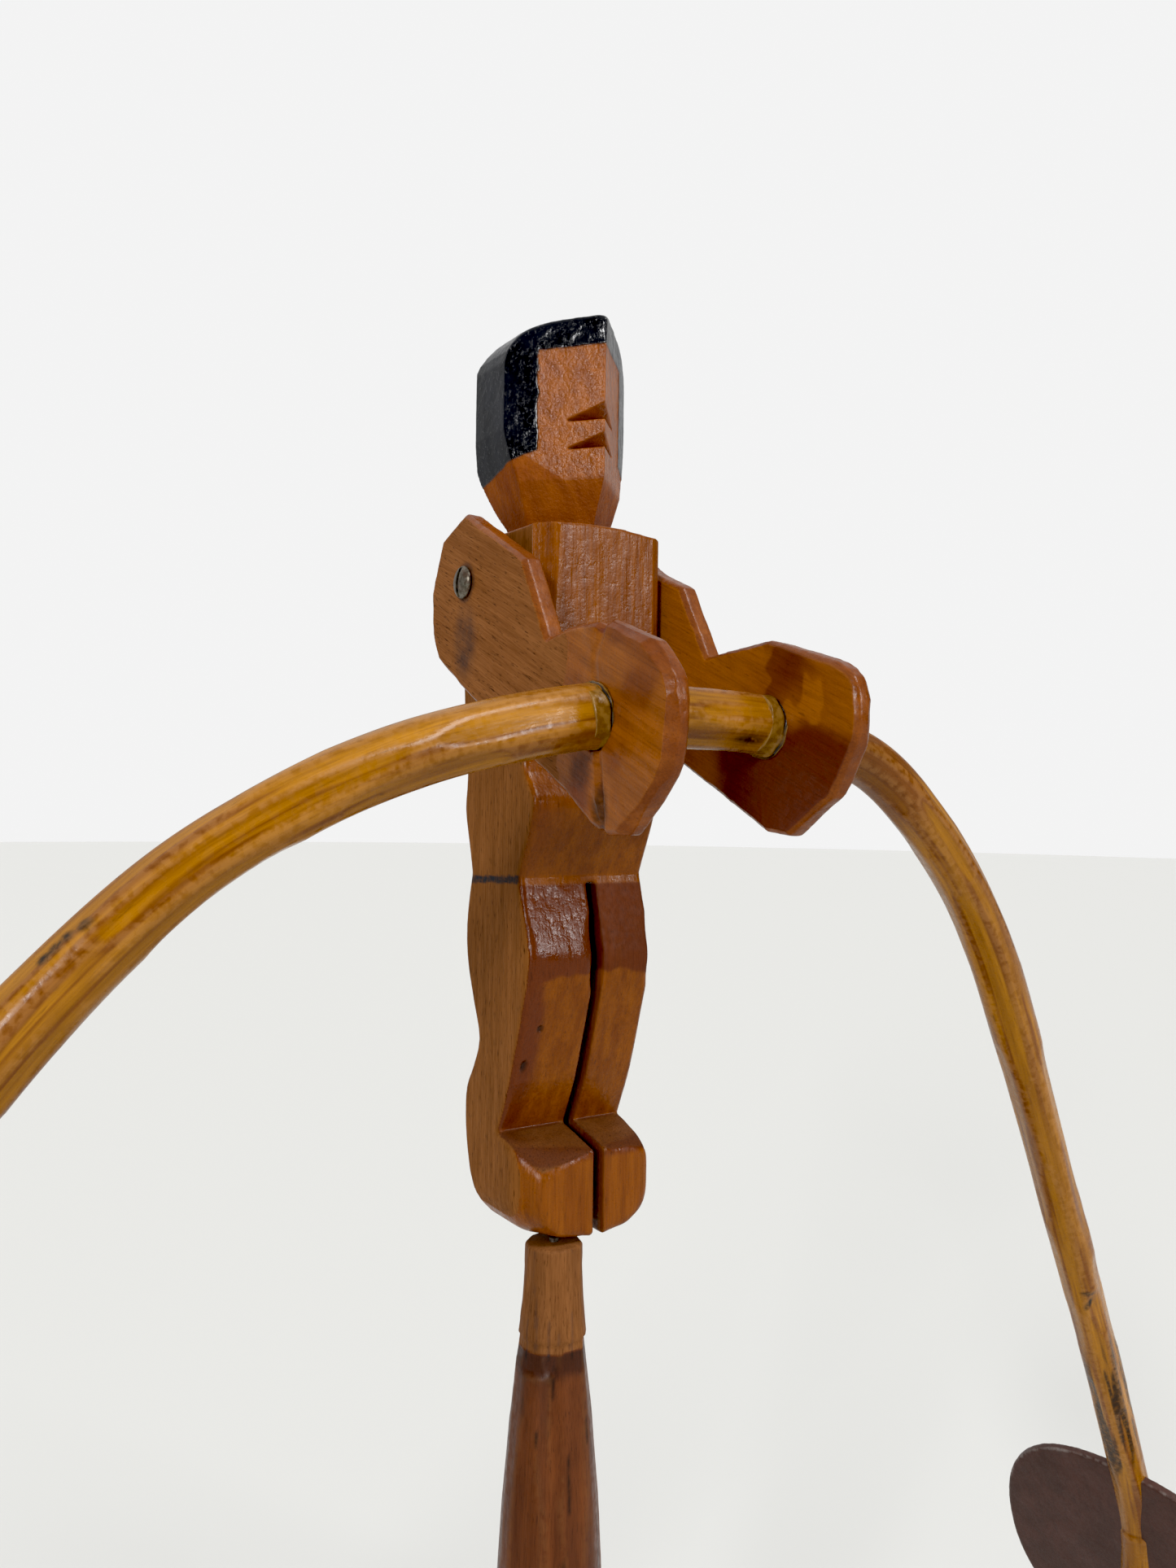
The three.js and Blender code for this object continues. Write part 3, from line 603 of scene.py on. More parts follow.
def carve_body():
    obj = remade("carved_body", "torso_and_legs", 0.36)
    s = Skin(obj)
    roughen_body(s)
    x, y, z = s.p.T
    side = smooth_step(np.abs(s.n[:, 0]), 0.75, 0.93) * smooth_step(np.abs(x), 13.6, 14.4)
    front = smooth_step(-s.n[:, 1], 0.2, 0.6)
    edge = s.ridge(6)
    hollow = s.ridge(10)
    wander = roughly(s.p, (4, 4, 9), 21)
    chest = smooth_step(z, 100, 108) * front
    varnish_end = THIGH_VARNISH_END + wander * 1.2 - 0.12 * np.abs(np.abs(x) - 7)
    thigh = smooth_step(z, varnish_end - 0.5, varnish_end + 0.9) * below(z, 70.8, 71.8)
    # Painted shadow of the near arm on the lower torso's near side, darkening its tone.
    belly_shadow = smooth_step(z, 71, 72) * below(z, 96, 104) * smooth_step(-x, 2, 12)
    foot_top = smooth_step(s.n[:, 2], 0.3, 0.6) * below(z, 20, 24)
    toe_rim = smooth_step(z, 14.6, 16.6) * below(z, 17.6, 19) * front
    near_band = smooth_step(-x + 2 * wander, 7.5, 13.5) * below(z, 68, 72) * smooth_step(z, 17, 24)
    tone = (0.12 * chest + 0.9 * thigh + 0.3 * belly_shadow + 0.95 * near_band + 0.5 * foot_top + 0.7 * toe_rim
            + 0.9 * smooth_step(-hollow, 0.12, 0.4) + 0.25 * smooth_step(edge, 0.25, 0.6))
    tone = np.where(side > 0.5, 0.3 * smooth_step(edge, 0.1, 0.5), tone)
    pencil = pencil_line(s, side)
    pits = sum(spot(s.p, centre, (1.1, 3.5, tall)) for centre, tall in SHIN_PITS)
    kerf = smooth_step(-np.abs(x - KERF_CENTRE), -1.7, -1.05) * below(z, 70.8, 71.5)
    s.push(-0.35 * smooth_step(pits, 0.4, 0.9))
    s.store()
    s.paint(grain=s.p, tone=tone,
            matt=0.08 * (1 - thigh) + thigh * front * 0.36 * smooth_step(x, 1, 3),
            dirt=1.5 * pencil + 0.8 * pits + 0.4 * kerf + 0.2 * foot_top,
            worn=0.35 * smooth_step(edge + 0.3 * lumps(s.p, 2.2, 41), 0.55, 0.95))
    put(obj, "figure", FIGURE_WOOD, "body_wood", "torso_and_legs")
    leave_bare(obj, np.maximum(side, 0.9 * foot_top * (edge < 0.5)), FIGURE_RAW)


# ---------------------------------------------------------------- the head
CROWN = 180
HAIRLINE = 180.6
HAIR_END = 160.2
JAW_TOP = 153.5
NECK = 145


def hair_cover(s, wander):
    """Where the black paint is: above the forehead, down both sides and over the back."""
    x, y, z = s.p.T
    hairline = HAIRLINE + 0.4 * roughly(s.p, 4, 63)
    end = HAIR_END - 0.42 * (np.abs(x) - 10) - 0.24 * np.maximum(y - 13, 0) + wander
    sides = np.maximum(smooth_step(np.abs(x) + wander, 10, 10.35), smooth_step(y, 22, 26))
    return np.maximum(smooth_step(z, hairline - 0.2, hairline + 0.2),
                      sides * smooth_step(z, end - 0.2, end + 0.2))


def carve_head():
    obj = remade("carved_head", "head", 0.2, 2)
    s = Skin(obj)
    s.ease(smooth_step(s.p[:, 2], CROWN, CROWN + 6), 12)
    s.p[:, 2] -= 0.4 * below(s.p[:, 2], NECK, NECK + 0.9)
    s.push(0.07 * roughly(s.p, (5, 5, 9), 51) + 0.03 * roughly(s.p, 1.4, 55, 2)
           + 0.07 * smooth_step(s.p[:, 2], CROWN - 1, CROWN + 2) * roughly(s.p, (2.4, 2.4, 1.8), 57))
    s.store()
    wander = 0.35 * roughly(s.p, 2.6, 61)
    hair = hair_cover(s, wander)
    s.push(0.16 * s.spread(hair, 1))
    s.keep_in()
    s.store()
    x, _, z = s.p.T
    edge = s.ridge(5)
    cheek_cut = smooth_step(-x - 6.5 - 0.95 * (z - JAW_TOP) + wander, -0.4, 0.4) * below(z, 160, 161)
    jaw = np.maximum(below(z, JAW_TOP - 2.5, JAW_TOP + 2.5), cheek_cut)
    tone = 0.2 * (1 - jaw) * (1 - hair) + 0.5 * jaw + 0.9 * smooth_step(-s.ridge(8), 0.15, 0.4)
    bare_spot = spot(s.p, (0, 0.5, 186.3), (2.2, 2.2, 1.4)) * smooth_step(edge + wander, 0.2, 0.6)
    slant = np.array(Matrix.Rotation(math.radians(38), 3, "Y"))
    s.paint(grain=s.p @ slant.T, tone=tone, hair=hair, worn=bare_spot,
            matt=0.3 * jaw * (1 - hair), dirt=0.35 * smooth_step(-s.ridge(3), 0.35, 0.8))
    put(obj, "figure", HEAD_PAINT, "head_wood", "head")
    leave_bare(obj, jaw * (1 - hair), JAW_WOOD)


# ---------------------------------------------------------------- the arms
HAND_FRONT = -33
GRAIN_TURN = 0.42


def bevel_hand(s, side):
    """Flats cut with a knife round the outer edge of a hand."""
    grip = below(s.p[:, 1], HAND_FRONT, HAND_FRONT + 4)
    hand = s.p[s.p[:, 1] < HAND_FRONT]
    pick = random.Random(69 + side)
    for degrees in range(-60, 241, 27):
        turn = math.radians(degrees + pick.uniform(-7, 7))
        face = np.array([side * pick.uniform(0.5, 0.75), -0.8 * math.cos(turn), 0.8 * math.sin(turn)])
        face /= np.linalg.norm(face)
        s.shave(face * ((hand @ face).max() - pick.uniform(0.25, 0.75)), face, grip, 1.6)
    s.store()


def roughen_arm(s, side):
    flat = smooth_step(np.abs(s.n[:, 0]), 0.8, 0.95)
    s.push((1 - flat) * 0.16 * roughly(s.p, (6, 3.5, 3.5), 71 + side)
           + flat * 0.05 * roughly(s.p, 9, 75 + side))
    s.push(flat * smooth_step(-s.p[:, 1], 18, 28) * 0.12 * roughly(s.p, 5.5, 77 + side))
    s.push(0.02 * roughly(s.p, 1.3, 79, 2))
    s.store()


def arm_marks(s, side, outer):
    """The right arm's grey smear, its burnt knot and grimy corner, and the chip below them."""
    smear = spot(s.p, (side * 21.7, 18, 120.5), (6, 6.5, 10)) * (0.6 + 0.4 * roughly(s.p, 3, 91)) * outer
    knot = spot(s.p, (side * 21.4, -32.5, 87.4), (3, 3.2, 5.6))
    knot = knot * (0.75 + 0.25 * roughly(s.p, (2, 1, 3), 93))
    grime = 0.6 * spot(s.p, (side * 21.7, -26.5, 93.5), (3, 4.5, 4.2))
    grime = grime * (0.75 + 0.25 * roughly(s.p, 2, 97))
    chip = 1.3 * spot(s.p, (side * 21, -31.5, 82.6), (3.5, 1.9, 1.7))
    return (side < 0) * (0.85 * smear + knot + grime), (side < 0) * chip


def carve_arm(label, side):
    obj = remade(f"carved_{label}_arm", f"{label}_arm", 0.32)
    s = Skin(obj)
    bevel_hand(s, side)
    roughen_arm(s, side)
    _, y, z = s.p.T
    outer = smooth_step(side * s.n[:, 0], 0.75, 0.95)
    inner = smooth_step(-side * s.n[:, 0], 0.75, 0.95)
    wander = 3 * roughly(s.p, 9, 81 + side)
    hand = smooth_step(-y + wander, 14, 26)
    edge = s.ridge(6)
    patches = smooth_step(roughly(s.p, (15, 11, 11), 85 + side), -0.35, 0.35)
    pooled = smooth_step(roughly(s.p, (12, 9, 9), 87 + side), 0, 0.12) * hand
    # Painted shadow on the lower part of each arm's inner face, below the pole: it darkens the tone
    # there, and the sap colour is kept out of it.
    shade = smooth_step(-z + 0.25 * (y + 40) + wander, -104, -97) * smooth_step(-y, 12, 24)
    low = below(z, 88, 100) * hand * outer
    tone = ((1 - outer - inner) * 0.5 + outer * hand * 0.4 * patches
            + inner * (0.3 * patches + 0.95 * shade + 0.4 * pooled) + 0.3 * low
            + 0.5 * smooth_step(edge, 0.3, 0.7) + 0.6 * smooth_step(-edge, 0.15, 0.5))
    dark, chip = arm_marks(s, side, outer)
    screw_rub = (1 - smooth_step(np.hypot(y - SHOULDER[1], z - SHOULDER[2]), 3.6, 4.6)) * outer
    turn = np.array(Matrix.Rotation(GRAIN_TURN, 3, "X"))
    # The paler edges are partly wear and partly a painted highlight along the hands' bevels; the chip
    # below the knot is a real chip.
    s.paint(grain=s.p[:, [0, 2, 1]] @ turn.T, tone=tone, dirt=dark + 0.5 * screw_rub,
            worn=0.6 * smooth_step(edge + 0.35 * lumps(s.p, 2, 95), 0.5, 0.9) + chip,
            sap=0.5 * inner * (1 - 0.6 * patches) * (1 - shade) + 0.2 * outer * hand * (1 - patches))
    put(obj, "arms_and_pole", ARM_WOOD, "arm_wood", f"{label}_arm")
    leave_bare(obj, outer * (1 - hand), ARM_RAW)


# ---------------------------------------------------------------- the pole
POLE_SIDES = 72
# A long knot made of three, then single ones: how dark each is, its centre and its reach.
LONG_KNOT = [((-106.2 + 1.4 * k, -27.6 - 0.2 * k, 68 + 1.4 * k), (1.7, 1.5, 1.3)) for k in (-1, 0, 1)]
KNOTS = ((1, (-102.6, -28.8, 71.1), (2.1, 1.5, 1.6)), (1.3, (146, -13.2, -38), (2.2, 3, 1)),
         (1.2, (147.6, -12.6, -41.4), (1.1, 3, 3)))
POLE_CRACK = ((9.6, -35, 99.8), (5.4, 2.2, 1.5))


def pole_course(step):
    """Points along the pole every step, by the same curve as the model's, with the distance along it."""
    p = np.array([(x, POLE_TOP[0] + POLE_LEAN * drop, POLE_TOP[1] - drop) for x, drop in POLE_COURSE])
    p = np.vstack([2 * p[0] - p[1], p, 2 * p[-1] - p[-2]])
    points = []
    for k in range(1, len(p) - 2):
        a, b, c, d = p[k - 1:k + 3]
        t0, t1, t2 = (np.linalg.norm(v) ** 0.5 for v in (b - a, c - b, d - c))
        m1 = ((b - a) / t0 - (c - a) / (t0 + t1) + (c - b) / t1) * t1
        m2 = ((c - b) / t1 - (d - b) / (t1 + t2) + (d - c) / t2) * t1
        u = np.linspace(0, 1, 60, endpoint=False)[:, None]
        bend = 3 * (c - b) - 2 * m1 - m2
        points.append(b + m1 * u + bend * u ** 2 + (2 * (b - c) + m1 + m2) * u ** 3)
    points = np.vstack(points + [p[-2:-1]])
    along = np.concatenate([[0], np.cumsum(np.linalg.norm(np.diff(points, axis=0), axis=1))])
    even = np.arange(0, along[-1], step)
    return np.stack([np.interp(even, along, points[:, k]) for k in range(3)], 1), even


def pole_radii(along, x, spots):
    """The pole's radius at each distance along it and each angle round it, rounded off at its ends."""
    base = np.interp(x, *np.array(POLE_RADII).T)
    ends = np.minimum(along, along[-1] - along)
    base = base * np.sqrt(np.clip(1 - (1 - np.minimum(ends, 1.2) / 1.2) ** 2, 0.2, 1))
    grid = np.repeat(base[:, None], POLE_SIDES, 1) + 0.1
    grid += 0.14 * roughly(spots, (38, 5, 5), 101).reshape(grid.shape)
    grid = whittle(along, grid, 190, 5, (3.2, 5.8), (18, 64))
    for _ in range(2):
        grid = (np.roll(grid, 1, 1) + 2 * grid + np.roll(grid, -1, 1)) / 4
    over_pins = (below(ends, 32, 36) * smooth_step(ends, 5, 7))[:, None]
    grid = np.maximum(grid, over_pins * (base[:, None] + 0.15))
    return grid + 0.02 * roughly(spots, (9, 1.4, 1.4), 105, 2).reshape(grid.shape)


def paint_pole(s, place):
    """Lengthwise streaks, the dark stains near the right weight, knots, specks and one crack."""
    x, _, z = s.p.T
    edge = s.ridge(3)
    streaks = smooth_step(roughly(place, (2.2, 2.2, 60), 111), 0.05, 0.5)
    lines = smooth_step(roughly(place, (0.8, 0.8, 34), 117), 0.2, 0.5)
    tone = 0.5 * streaks + 0.6 * lines + 0.35 * smooth_step(np.abs(edge), 0.02, 0.07)
    tone = tone + 0.7 * below(z, -146, -138) * (x > 0) + 0.75 * smooth_step(x, 20, 26) * below(x, 50, 66)
    tone = tone + 0.2 * smooth_step(roughly(place, (5, 5, 34), 115), 0.1, 0.5)
    stains = smooth_step(roughly(place, (1.9, 1.9, 24), 121), 0.02, 0.2)
    stains = stains * smooth_step(x, 154, 162) * below(x, 178, 186)
    specks = smooth_step(roughly(place, (0.9, 0.9, 3.4), 123, 2), 0.72, 0.86)
    knots = np.minimum(sum(spot(s.p, centre, reach) for centre, reach in LONG_KNOT), 1)
    for strength, centre, reach in KNOTS:
        knots = knots + strength * spot(s.p, centre, reach)
    crack = spot(s.p, *POLE_CRACK) * smooth_step(lumps(s.p, (0.9, 0.9, 0.5), 127), -0.8, -0.2)
    s.paint(grain=place, tone=tone, dirt=0.9 * stains + 0.55 * specks + 0.95 * knots + 0.9 * crack,
            worn=0.25 * smooth_step(edge, 0.05, 0.1))


def carve_pole():
    centres, along = pole_course(0.55)
    tangent = np.gradient(centres, axis=0)
    tangent /= np.linalg.norm(tangent, axis=1)[:, None]
    level = np.array([0, 1, POLE_LEAN]) / math.hypot(1, POLE_LEAN)
    across = np.cross(tangent, level)
    angle = circle(POLE_SIDES)
    spots = round_stick(along, angle, 5)
    grid = pole_radii(along, centres[:, 0], spots)
    rings = centres[:, None, :] + grid[..., None] * (np.cos(angle)[None, :, None] * level
                                                    + np.sin(angle)[None, :, None] * across[:, None, :])
    obj = from_grid("whittled_pole", rings)
    s = Skin(obj)
    straight = np.zeros((len(s.p), 3))
    straight[:-2] = np.stack([spots[:, 1] * 1.1, spots[:, 2] * 1.1, spots[:, 0]], 1)
    straight[-2:] = [(0, 0, along[0]), (0, 0, along[-1])]
    paint_pole(s, straight)
    return put(obj, "arms_and_pole", POLE_WOOD, "pole_wood", "balance_pole")


# ---------------------------------------------------------------- the weights
def corners_of(node):
    """The vertices of a CAD node, in millimetres in the figure's frame."""
    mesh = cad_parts[node].data
    flat = np.empty(len(mesh.vertices) * 3, np.float32)
    mesh.vertices.foreach_get("co", flat)
    return (flat.reshape(-1, 3).astype(float) - FIGURE) / MM


def thin_way(p):
    """The direction in which a flat piece is thin."""
    return np.linalg.svd(p - p.mean(0), full_matrices=False)[2][2]


def cut_disc(label, seed):
    obj = remade(f"cut_{label}_weight", f"{label}_weight_disc", 0.42, 2)
    s = Skin(obj)
    model = corners_of(f"{label}_weight_disc")
    s.p += thin_way(model) * (0.35 * roughly(s.p, 26, seed) + 0.1 * roughly(s.p, 7, seed + 4))[:, None]
    s.push(0.03 * roughly(s.p, 1.6, seed + 8, 2))
    s.store()
    reach = np.linalg.norm(s.p - model.mean(0), axis=1)
    # Painted highlight along the disc's edges, fuller round the outer rim.
    s.paint(worn=smooth_step(s.ridge(4), 0.2, 0.6) * (0.5 + 0.5 * (reach > 30)))
    return put(obj, "arms_and_pole", IRON, "weight_steel", f"{label}_weight_disc")


def sunk_pin(label, number):
    """A pin through a weight, a little shorter than its hole, so that the varnish closes over it."""
    node = f"{label}_disc_pin_{number}"
    model = corners_of(node)
    profile = [(-1.9, 0.3), (-1.8, 0.95), (1.8, 0.95), (1.9, 0.3)]
    pin = turned(f"{label}_sunk_pin_{number}", profile, (model.min(0) + model.max(0)) / 2,
                 thin_way(corners_of(f"{label}_weight_disc")), 24)
    return put(pin, "arms_and_pole", PIN_STEEL, "weight_steel", node)


# ---------------------------------------------------------------- the stand
POST_SIDES = 84
TENON_RADIUS = 11
POST_STAIN_START = 20.3


def post_radii(height, below_top, shoulder):
    """The post's radius at each height and angle: long knife strokes low down, short ones above."""
    angle = circle(POST_SIDES)
    base = np.where(height < shoulder, TENON_RADIUS, np.interp(below_top, *np.array(POST_RADII).T))
    grid = np.repeat(base[:, None], POST_SIDES, 1)
    wave = 0.22 * roughly(round_stick(height, angle, 9), (40, 8, 8), 131).reshape(grid.shape)
    cut = height >= shoulder
    grid[cut] += wave[cut]
    lower = cut & (below_top > 18)
    grid[lower] = whittle(height[lower], grid[lower], 90, 9, (4, 7.5), (50, 130))
    upper = cut & (below_top < 24)
    grid[upper] = whittle(height[upper], grid[upper], 40, 11, (2, 3.6), (8, 20))
    return grid


def carve_post():
    low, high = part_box("post")
    _, base_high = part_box("base_board")
    top = (high[2] - FIGURE[2]) / MM
    shoulder = (base_high[2] - FIGURE[2]) / MM + 0.3
    bottom = (low[2] - FIGURE[2]) / MM
    axis = -FIGURE[:2] / MM
    height = np.concatenate([np.arange(bottom, shoulder, 2.0), [shoulder - 0.01],
                             np.arange(shoulder, top - 1, 0.6), np.linspace(top - 0.9, top, 5)])
    grid = post_radii(height, top - height, shoulder)
    angle = circle(POST_SIDES)
    rings = np.stack([axis[0] + grid * np.cos(angle), axis[1] + grid * np.sin(angle),
                      np.repeat(height[:, None], POST_SIDES, 1)], -1)
    obj = from_grid("whittled_post", rings)
    s = Skin(obj)
    depth = top - s.p[:, 2]
    start = POST_STAIN_START + 0.7 * roughly(s.p * [1, 1, 0], 4.5, 141)
    raw = smooth_step(start - depth, -0.35, 0.35)
    rim = smooth_step(depth, start, start + 0.3) * (1 - smooth_step(depth, start + 1, start + 6))
    cracks = smooth_step(roughly(s.p, (0.9, 0.9, 22), 145), 0.42, 0.6)
    tone = 0.25 + 1.1 * rim + 0.45 * smooth_step(roughly(s.p, (5, 5, 60), 147), -0.1, 0.5)
    s.paint(grain=s.p, tone=tone * (1 - raw) + 0.2 * raw, dirt=0.8 * cracks * (1 - 0.6 * raw) + 0.3 * rim,
            worn=0.05 * smooth_step(s.ridge(3), 0.05, 0.1) * (1 - raw))
    put(obj, "stand", POST_WOOD, "post_wood", "post")
    leave_bare(obj, raw, POST_RAW)


def shape_base():
    obj = remade("planed_base", "base_board", 0.8, 3)
    s = Skin(obj)
    s.push(0.12 * roughly(s.p, (30, 12, 12), 151) + 0.04 * roughly(s.p, 3, 155))
    s.keep_in()
    s.store()
    edge = s.ridge(4)
    x, y, _ = s.p.T
    from_post = np.hypot(x + FIGURE[0] / MM, y + FIGURE[1] / MM)
    specks = smooth_step(lumps(s.p, (0.8, 0.8, 0.8), 157), 0.86, 0.95)
    s.paint(grain=s.p[:, [1, 2, 0]],
            tone=0.3 + 0.35 * below(from_post, 18, 32) + 0.3 * smooth_step(edge, 0.2, 0.6),
            dirt=0.5 * below(from_post, 17.6, 20) + 0.6 * specks,
            worn=0.5 * smooth_step(edge + 0.3 * lumps(s.p, 4, 159), 0.4, 0.8))
    return put(obj, "stand", BASE_WOOD, "base_wood", "base_board")


# ---------------------------------------------------------------- small metal pieces and glue
SCREW_FACE = 22.2
SCREW_RADIUS = 3.4
SCREW_DOME = 1.4
SLOT_HALF_WIDTH = 0.5
SLOT_DEPTH = 1.2
SLOT_TURN = 0.16
GLUE_SIDES = 120


def turned(name, profile, axis_point, axis, sides=48):
    """A solid of revolution: profile is a list of (distance along the axis, radius) from its start."""
    axis = np.array(axis, float) / np.linalg.norm(axis)
    aside = np.cross(axis, [0.3, 0.2, 1.0])
    aside /= np.linalg.norm(aside)
    other = np.cross(axis, aside)
    angle = circle(sides)
    ring = np.cos(angle)[:, None] * aside + np.sin(angle)[:, None] * other
    rings = np.array([np.array(axis_point) + axis * t + ring * r for t, r in profile])
    return from_grid(name, rings)


def slot_cutter(side):
    """The block that a screw's slot is cut with, where it cuts."""
    bottom = SCREW_FACE + 1.75 - SLOT_DEPTH
    corners = [(side * (bottom + i * 3), j * SLOT_HALF_WIDTH, k * 5)
               for i in (0, 1) for j in (-1, 1) for k in (-1, 1)]
    turn = np.array(Matrix.Rotation(SLOT_TURN, 3, "X"))
    points = (np.array(corners) @ turn.T + [0, SHOULDER[1], SHOULDER[2]]) * MM + FIGURE
    faces = [(0, 1, 3, 2), (4, 6, 7, 5), (0, 4, 5, 1), (2, 3, 7, 6), (0, 2, 6, 4), (1, 5, 7, 3)]
    mesh = bpy.data.meshes.new("slot_cutter")
    mesh.from_pydata(points.tolist(), [], faces)
    if side < 0:
        mesh.flip_normals()
    return link(bpy.data.objects.new("slot_cutter", mesh))


def slotted_screw(label, side):
    """The shoulder screw: a domed head with a slot smoothed by use, on a plain shank."""
    dome = [(SCREW_FACE + SCREW_DOME * math.sin(a), max(SCREW_RADIUS * math.cos(a), 0.05))
            for a in np.linspace(0, math.pi / 2, 14)]
    profile = [(4.9, 0.3), (7, 1.7), (21.9, 1.8), (22, 3.3)] + dome
    screw = turned(f"{label}_slotted_screw", profile, (0, SHOULDER[1], SHOULDER[2]), (side, 0, 0))
    cutter = slot_cutter(side)
    cut = screw.modifiers.new("slot", "BOOLEAN")
    cut.object = cutter
    settle(screw)
    bpy.data.objects.remove(cutter)
    return put(screw, "figure", SCREW_STEEL, "screw_steel", f"{label}_shoulder_screw")


def glue_fillet(name, x, outward, seed, size):
    """Glue filling the corner where the pole goes into a hand: it thins out along the pole."""
    centres, _ = pole_course(0.25)
    radius = np.interp(x, *np.array(POLE_RADII).T)
    at = np.argmin(np.abs(centres[:, 0] - x))
    reach = np.concatenate([[-0.6], np.arange(-0.3, 3.3, 0.15)])
    axis = centres[at + 4] - centres[at - 4]
    axis /= np.linalg.norm(axis)
    middle = centres[at] + np.outer(outward * reach, axis)
    aside = np.cross(axis, [0, 0, 1.0])
    aside /= np.linalg.norm(aside)
    angle = circle(GLUE_SIDES)
    ring = np.cos(angle)[:, None] * aside + np.sin(angle)[:, None] * np.cross(axis, aside)
    amount = size * (0.75 + 0.5 * roughly(ring * 5.6, 3, seed))
    fall = np.exp(-np.maximum(reach, 0) / 0.75)
    fall[0] = 0
    high = radius + 0.02 + amount[None, :] * fall[:, None]
    high[-1] = radius - 0.5
    obj = from_grid(name, middle[:, None, :] + ring[None] * high[..., None])
    s = Skin(obj)
    depth = np.append(np.repeat(reach, GLUE_SIDES), [0, 0])
    turn = np.append(np.tile(angle, len(reach)), [0, 0])
    round_pole = np.stack([np.cos(turn) * 6, np.sin(turn) * 6, turn * 0], 1)
    crack_at = 0.25 + 0.5 * lumps(round_pole, 2.4, seed + 5)
    crack = 1 - smooth_step(np.abs(depth - crack_at), 0.12, 0.34)
    crack *= smooth_step(lumps(round_pole, 4, seed + 7), -0.5, 0)
    s.push(-0.25 * crack)
    s.store()
    s.paint(dirt=crack)
    return put(obj, "arms_and_pole", GLUE, "arm_wood")


# ---------------------------------------------------------------- making everything
carve_body()
carve_head()
for label, side in (("right", -1), ("left", 1)):
    carve_arm(label, side)
    slotted_screw(label, side)
    cut_disc(label, 171 + side)
    sunk_pin(label, 1)
    sunk_pin(label, 2)
carve_pole()
carve_post()
shape_base()
# Glue round the pole at each face of the hands: its name, its x, the way it points, a seed and its size.
for fillet in (("near_outer_glue", -21.7, -1, 181, 0.6), ("near_inner_glue", -17, 1, 185, 0.6),
               ("far_inner_glue", 17, -1, 183, 1.0), ("far_outer_glue", 21.7, 1, 187, 0.6)):
    glue_fillet(*fillet)

# CAD nodes that are shown as they are, with a material.
KEPT = {"felt_pad": FELT, "base_screw": SCREW_STEEL, "pivot_pin": PIN_STEEL, "pivot_ball": PIN_STEEL,
        "bearing_cup": BRASS, "neck_dowel": DOWEL_WOOD,
        "right_shoulder_washer": SCREW_STEEL, "left_shoulder_washer": SCREW_STEEL}
for node, material in KEPT.items():
    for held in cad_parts[node].material_slots:
        held.material = material


# ---------------------------------------------------------------- camera, light and floor
def look_from(eye, yaw, pitch, roll):
    """A camera's place and turn: yaw to the right of +y, pitch up, then roll, in degrees."""
    y, p, r = (math.radians(a) for a in (yaw, pitch, roll))
    ahead = Vector((math.sin(y) * math.cos(p), math.cos(y) * math.cos(p), math.sin(p)))
    right = Vector((math.cos(y), -math.sin(y), 0))
    up = right.cross(ahead)
    right, up = right * math.cos(r) + up * math.sin(r), up * math.cos(r) - right * math.sin(r)
    return Matrix.Translation(eye) @ Matrix((right, up, -ahead)).transposed().to_4x4()


EYE = np.array([-134.73, -201.27, 89.52]) * MM + FIGURE
EYE_YAW = 33.26
EYE_PITCH = 0.54
EYE_ROLL = 0.81
FLOOR_RADIUS = 8
camera = link(bpy.data.objects.new("camera", bpy.data.cameras.new("camera")))
camera.matrix_world = look_from(Vector(EYE), EYE_YAW, EYE_PITCH, EYE_ROLL)
camera.data.sensor_fit = "AUTO"
camera.data.sensor_width = 36
camera.data.lens = 27.44
camera.data.clip_start = 0.01
bpy.context.scene.camera = camera

floor_mesh = bpy.data.meshes.new("floor")
rim = [(FLOOR_RADIUS * math.cos(a), FLOOR_RADIUS * math.sin(a), 0) for a in circle(64)]
floor_mesh.from_pydata(rim, [], [tuple(range(len(rim)))])
floor = link(bpy.data.objects.new("floor", floor_mesh))
floor_look = Graph("floor_pale", Roughness=0.9)
floor_look.colour(rgb("cfcfcc"))
floor_mesh.materials.append(floor_look.material)

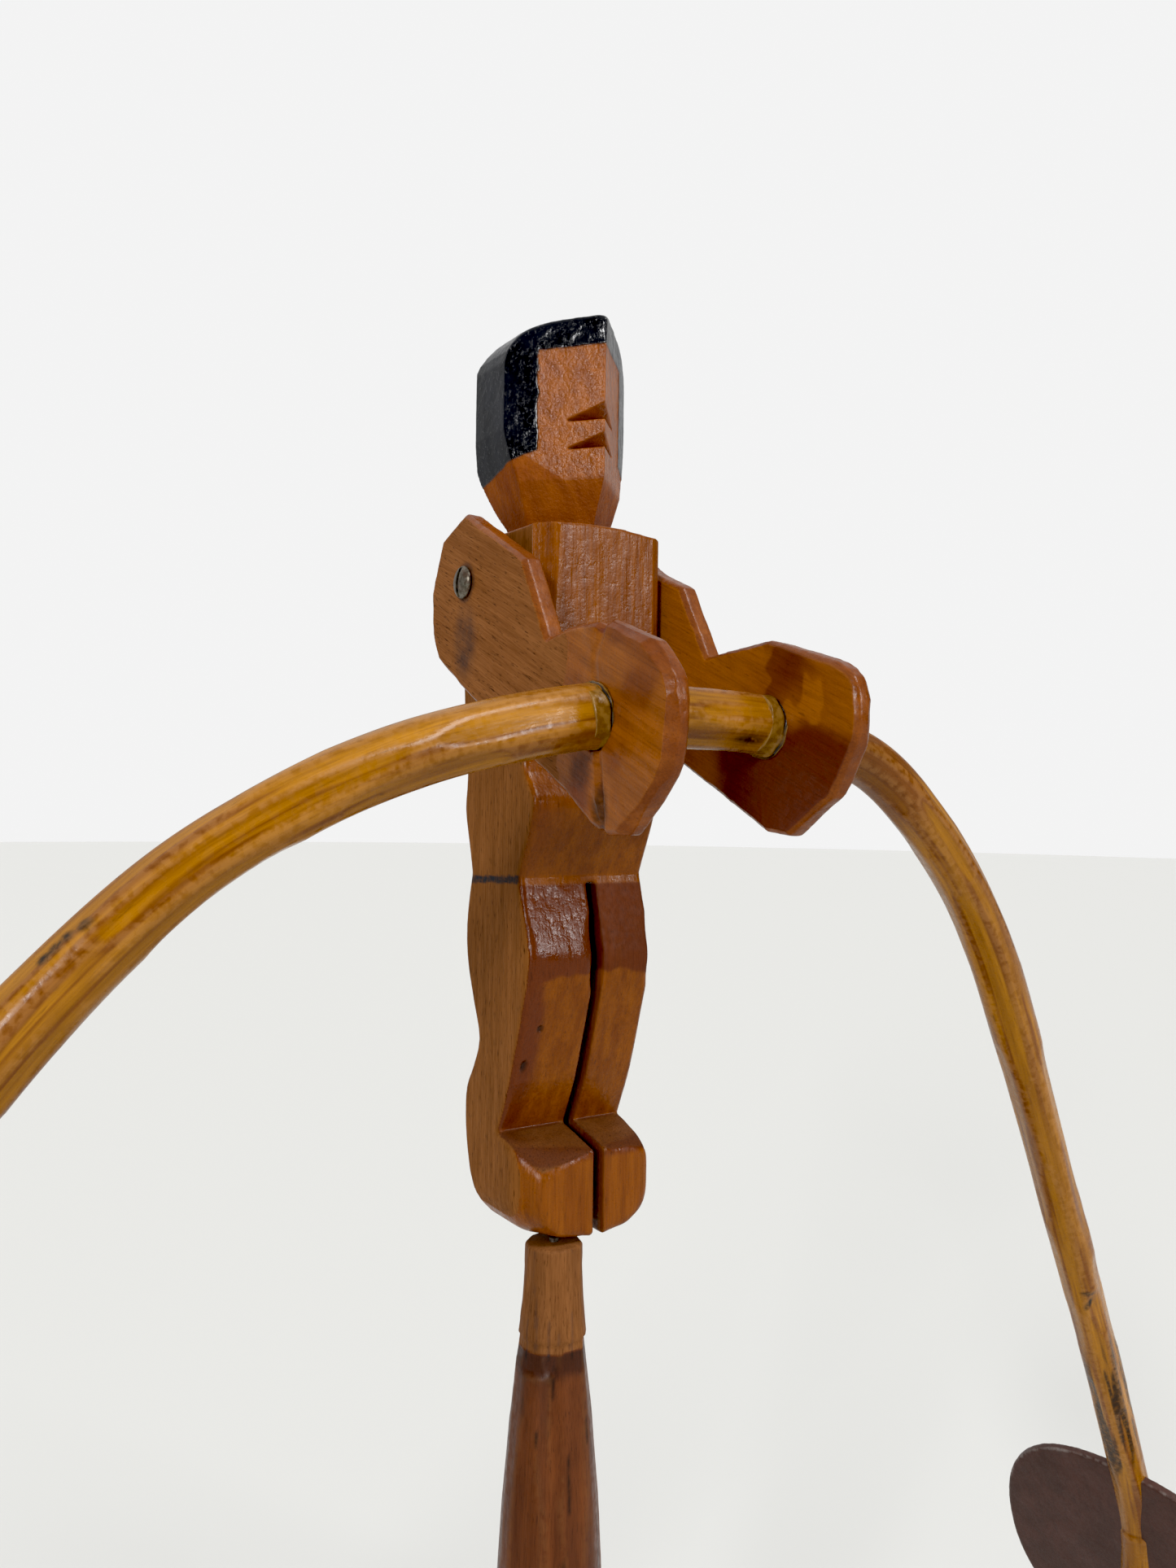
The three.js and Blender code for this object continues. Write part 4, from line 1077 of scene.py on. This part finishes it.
world = bpy.data.worlds.new("studio")
bpy.context.scene.world = world
world.use_nodes = True
tree = world.node_tree
background = tree.nodes["Background"]
aim = tree.nodes.new("ShaderNodeTexCoord").outputs["Generated"]
split = tree.nodes.new("ShaderNodeSeparateXYZ")
tree.links.new(aim, split.inputs[0])


def sky_part(axis, low, high, strength, start=0.0):
    """Light that grows from start to strength along one axis of the sky."""
    made = tree.nodes.new("ShaderNodeMapRange")
    made.interpolation_type = "SMOOTHSTEP"
    for key, value in (("From Min", low), ("From Max", high), ("To Min", start), ("To Max", strength)):
        made.inputs[key].default_value = value
    tree.links.new(split.outputs[axis], made.inputs["Value"])
    return made.outputs["Result"]


# The camera sees an even pale sky, and the light of the sky comes from above and from behind.
whole = tree.nodes.new("ShaderNodeMath")
whole.operation = "ADD"
tree.links.new(sky_part("Z", 0.35, 0.85, 0.65, 0.04), whole.inputs[0])
tree.links.new(sky_part("Y", 0.0, 0.6, 0.5), whole.inputs[1])
rays = tree.nodes.new("ShaderNodeLightPath")
seen = tree.nodes.new("ShaderNodeMix")
tree.links.new(rays.outputs["Is Camera Ray"], seen.inputs["Factor"])
tree.links.new(whole.outputs[0], seen.inputs[2])
seen.inputs[3].default_value = 0.9
tree.links.new(seen.outputs[0], background.inputs["Strength"])
background.inputs["Color"].default_value = (1, 1, 1, 1)


def softbox(name, direction, strength, spread):
    """A distant broad light: where it comes from, its strength and how wide it looks, in degrees."""
    data = bpy.data.lights.new(name, "SUN")
    data.energy = strength
    data.angle = math.radians(spread)
    light = link(bpy.data.objects.new(name, data))
    light.rotation_euler = Vector(direction).to_track_quat("Z", "Y").to_euler()


softbox("overhead", (0.15, -0.55, 0.82), 1.9, 22)
softbox("window_left", (-0.775, -0.565, 0.28), 1.6, 13)
softbox("window_right", (0.44, -0.84, 0.29), 0.95, 12)

view = bpy.context.scene.view_settings
view.view_transform = "Standard"
view.use_curve_mapping = True
view.curve_mapping.black_level = (0.012, 0.012, 0.012)
view.curve_mapping.update()
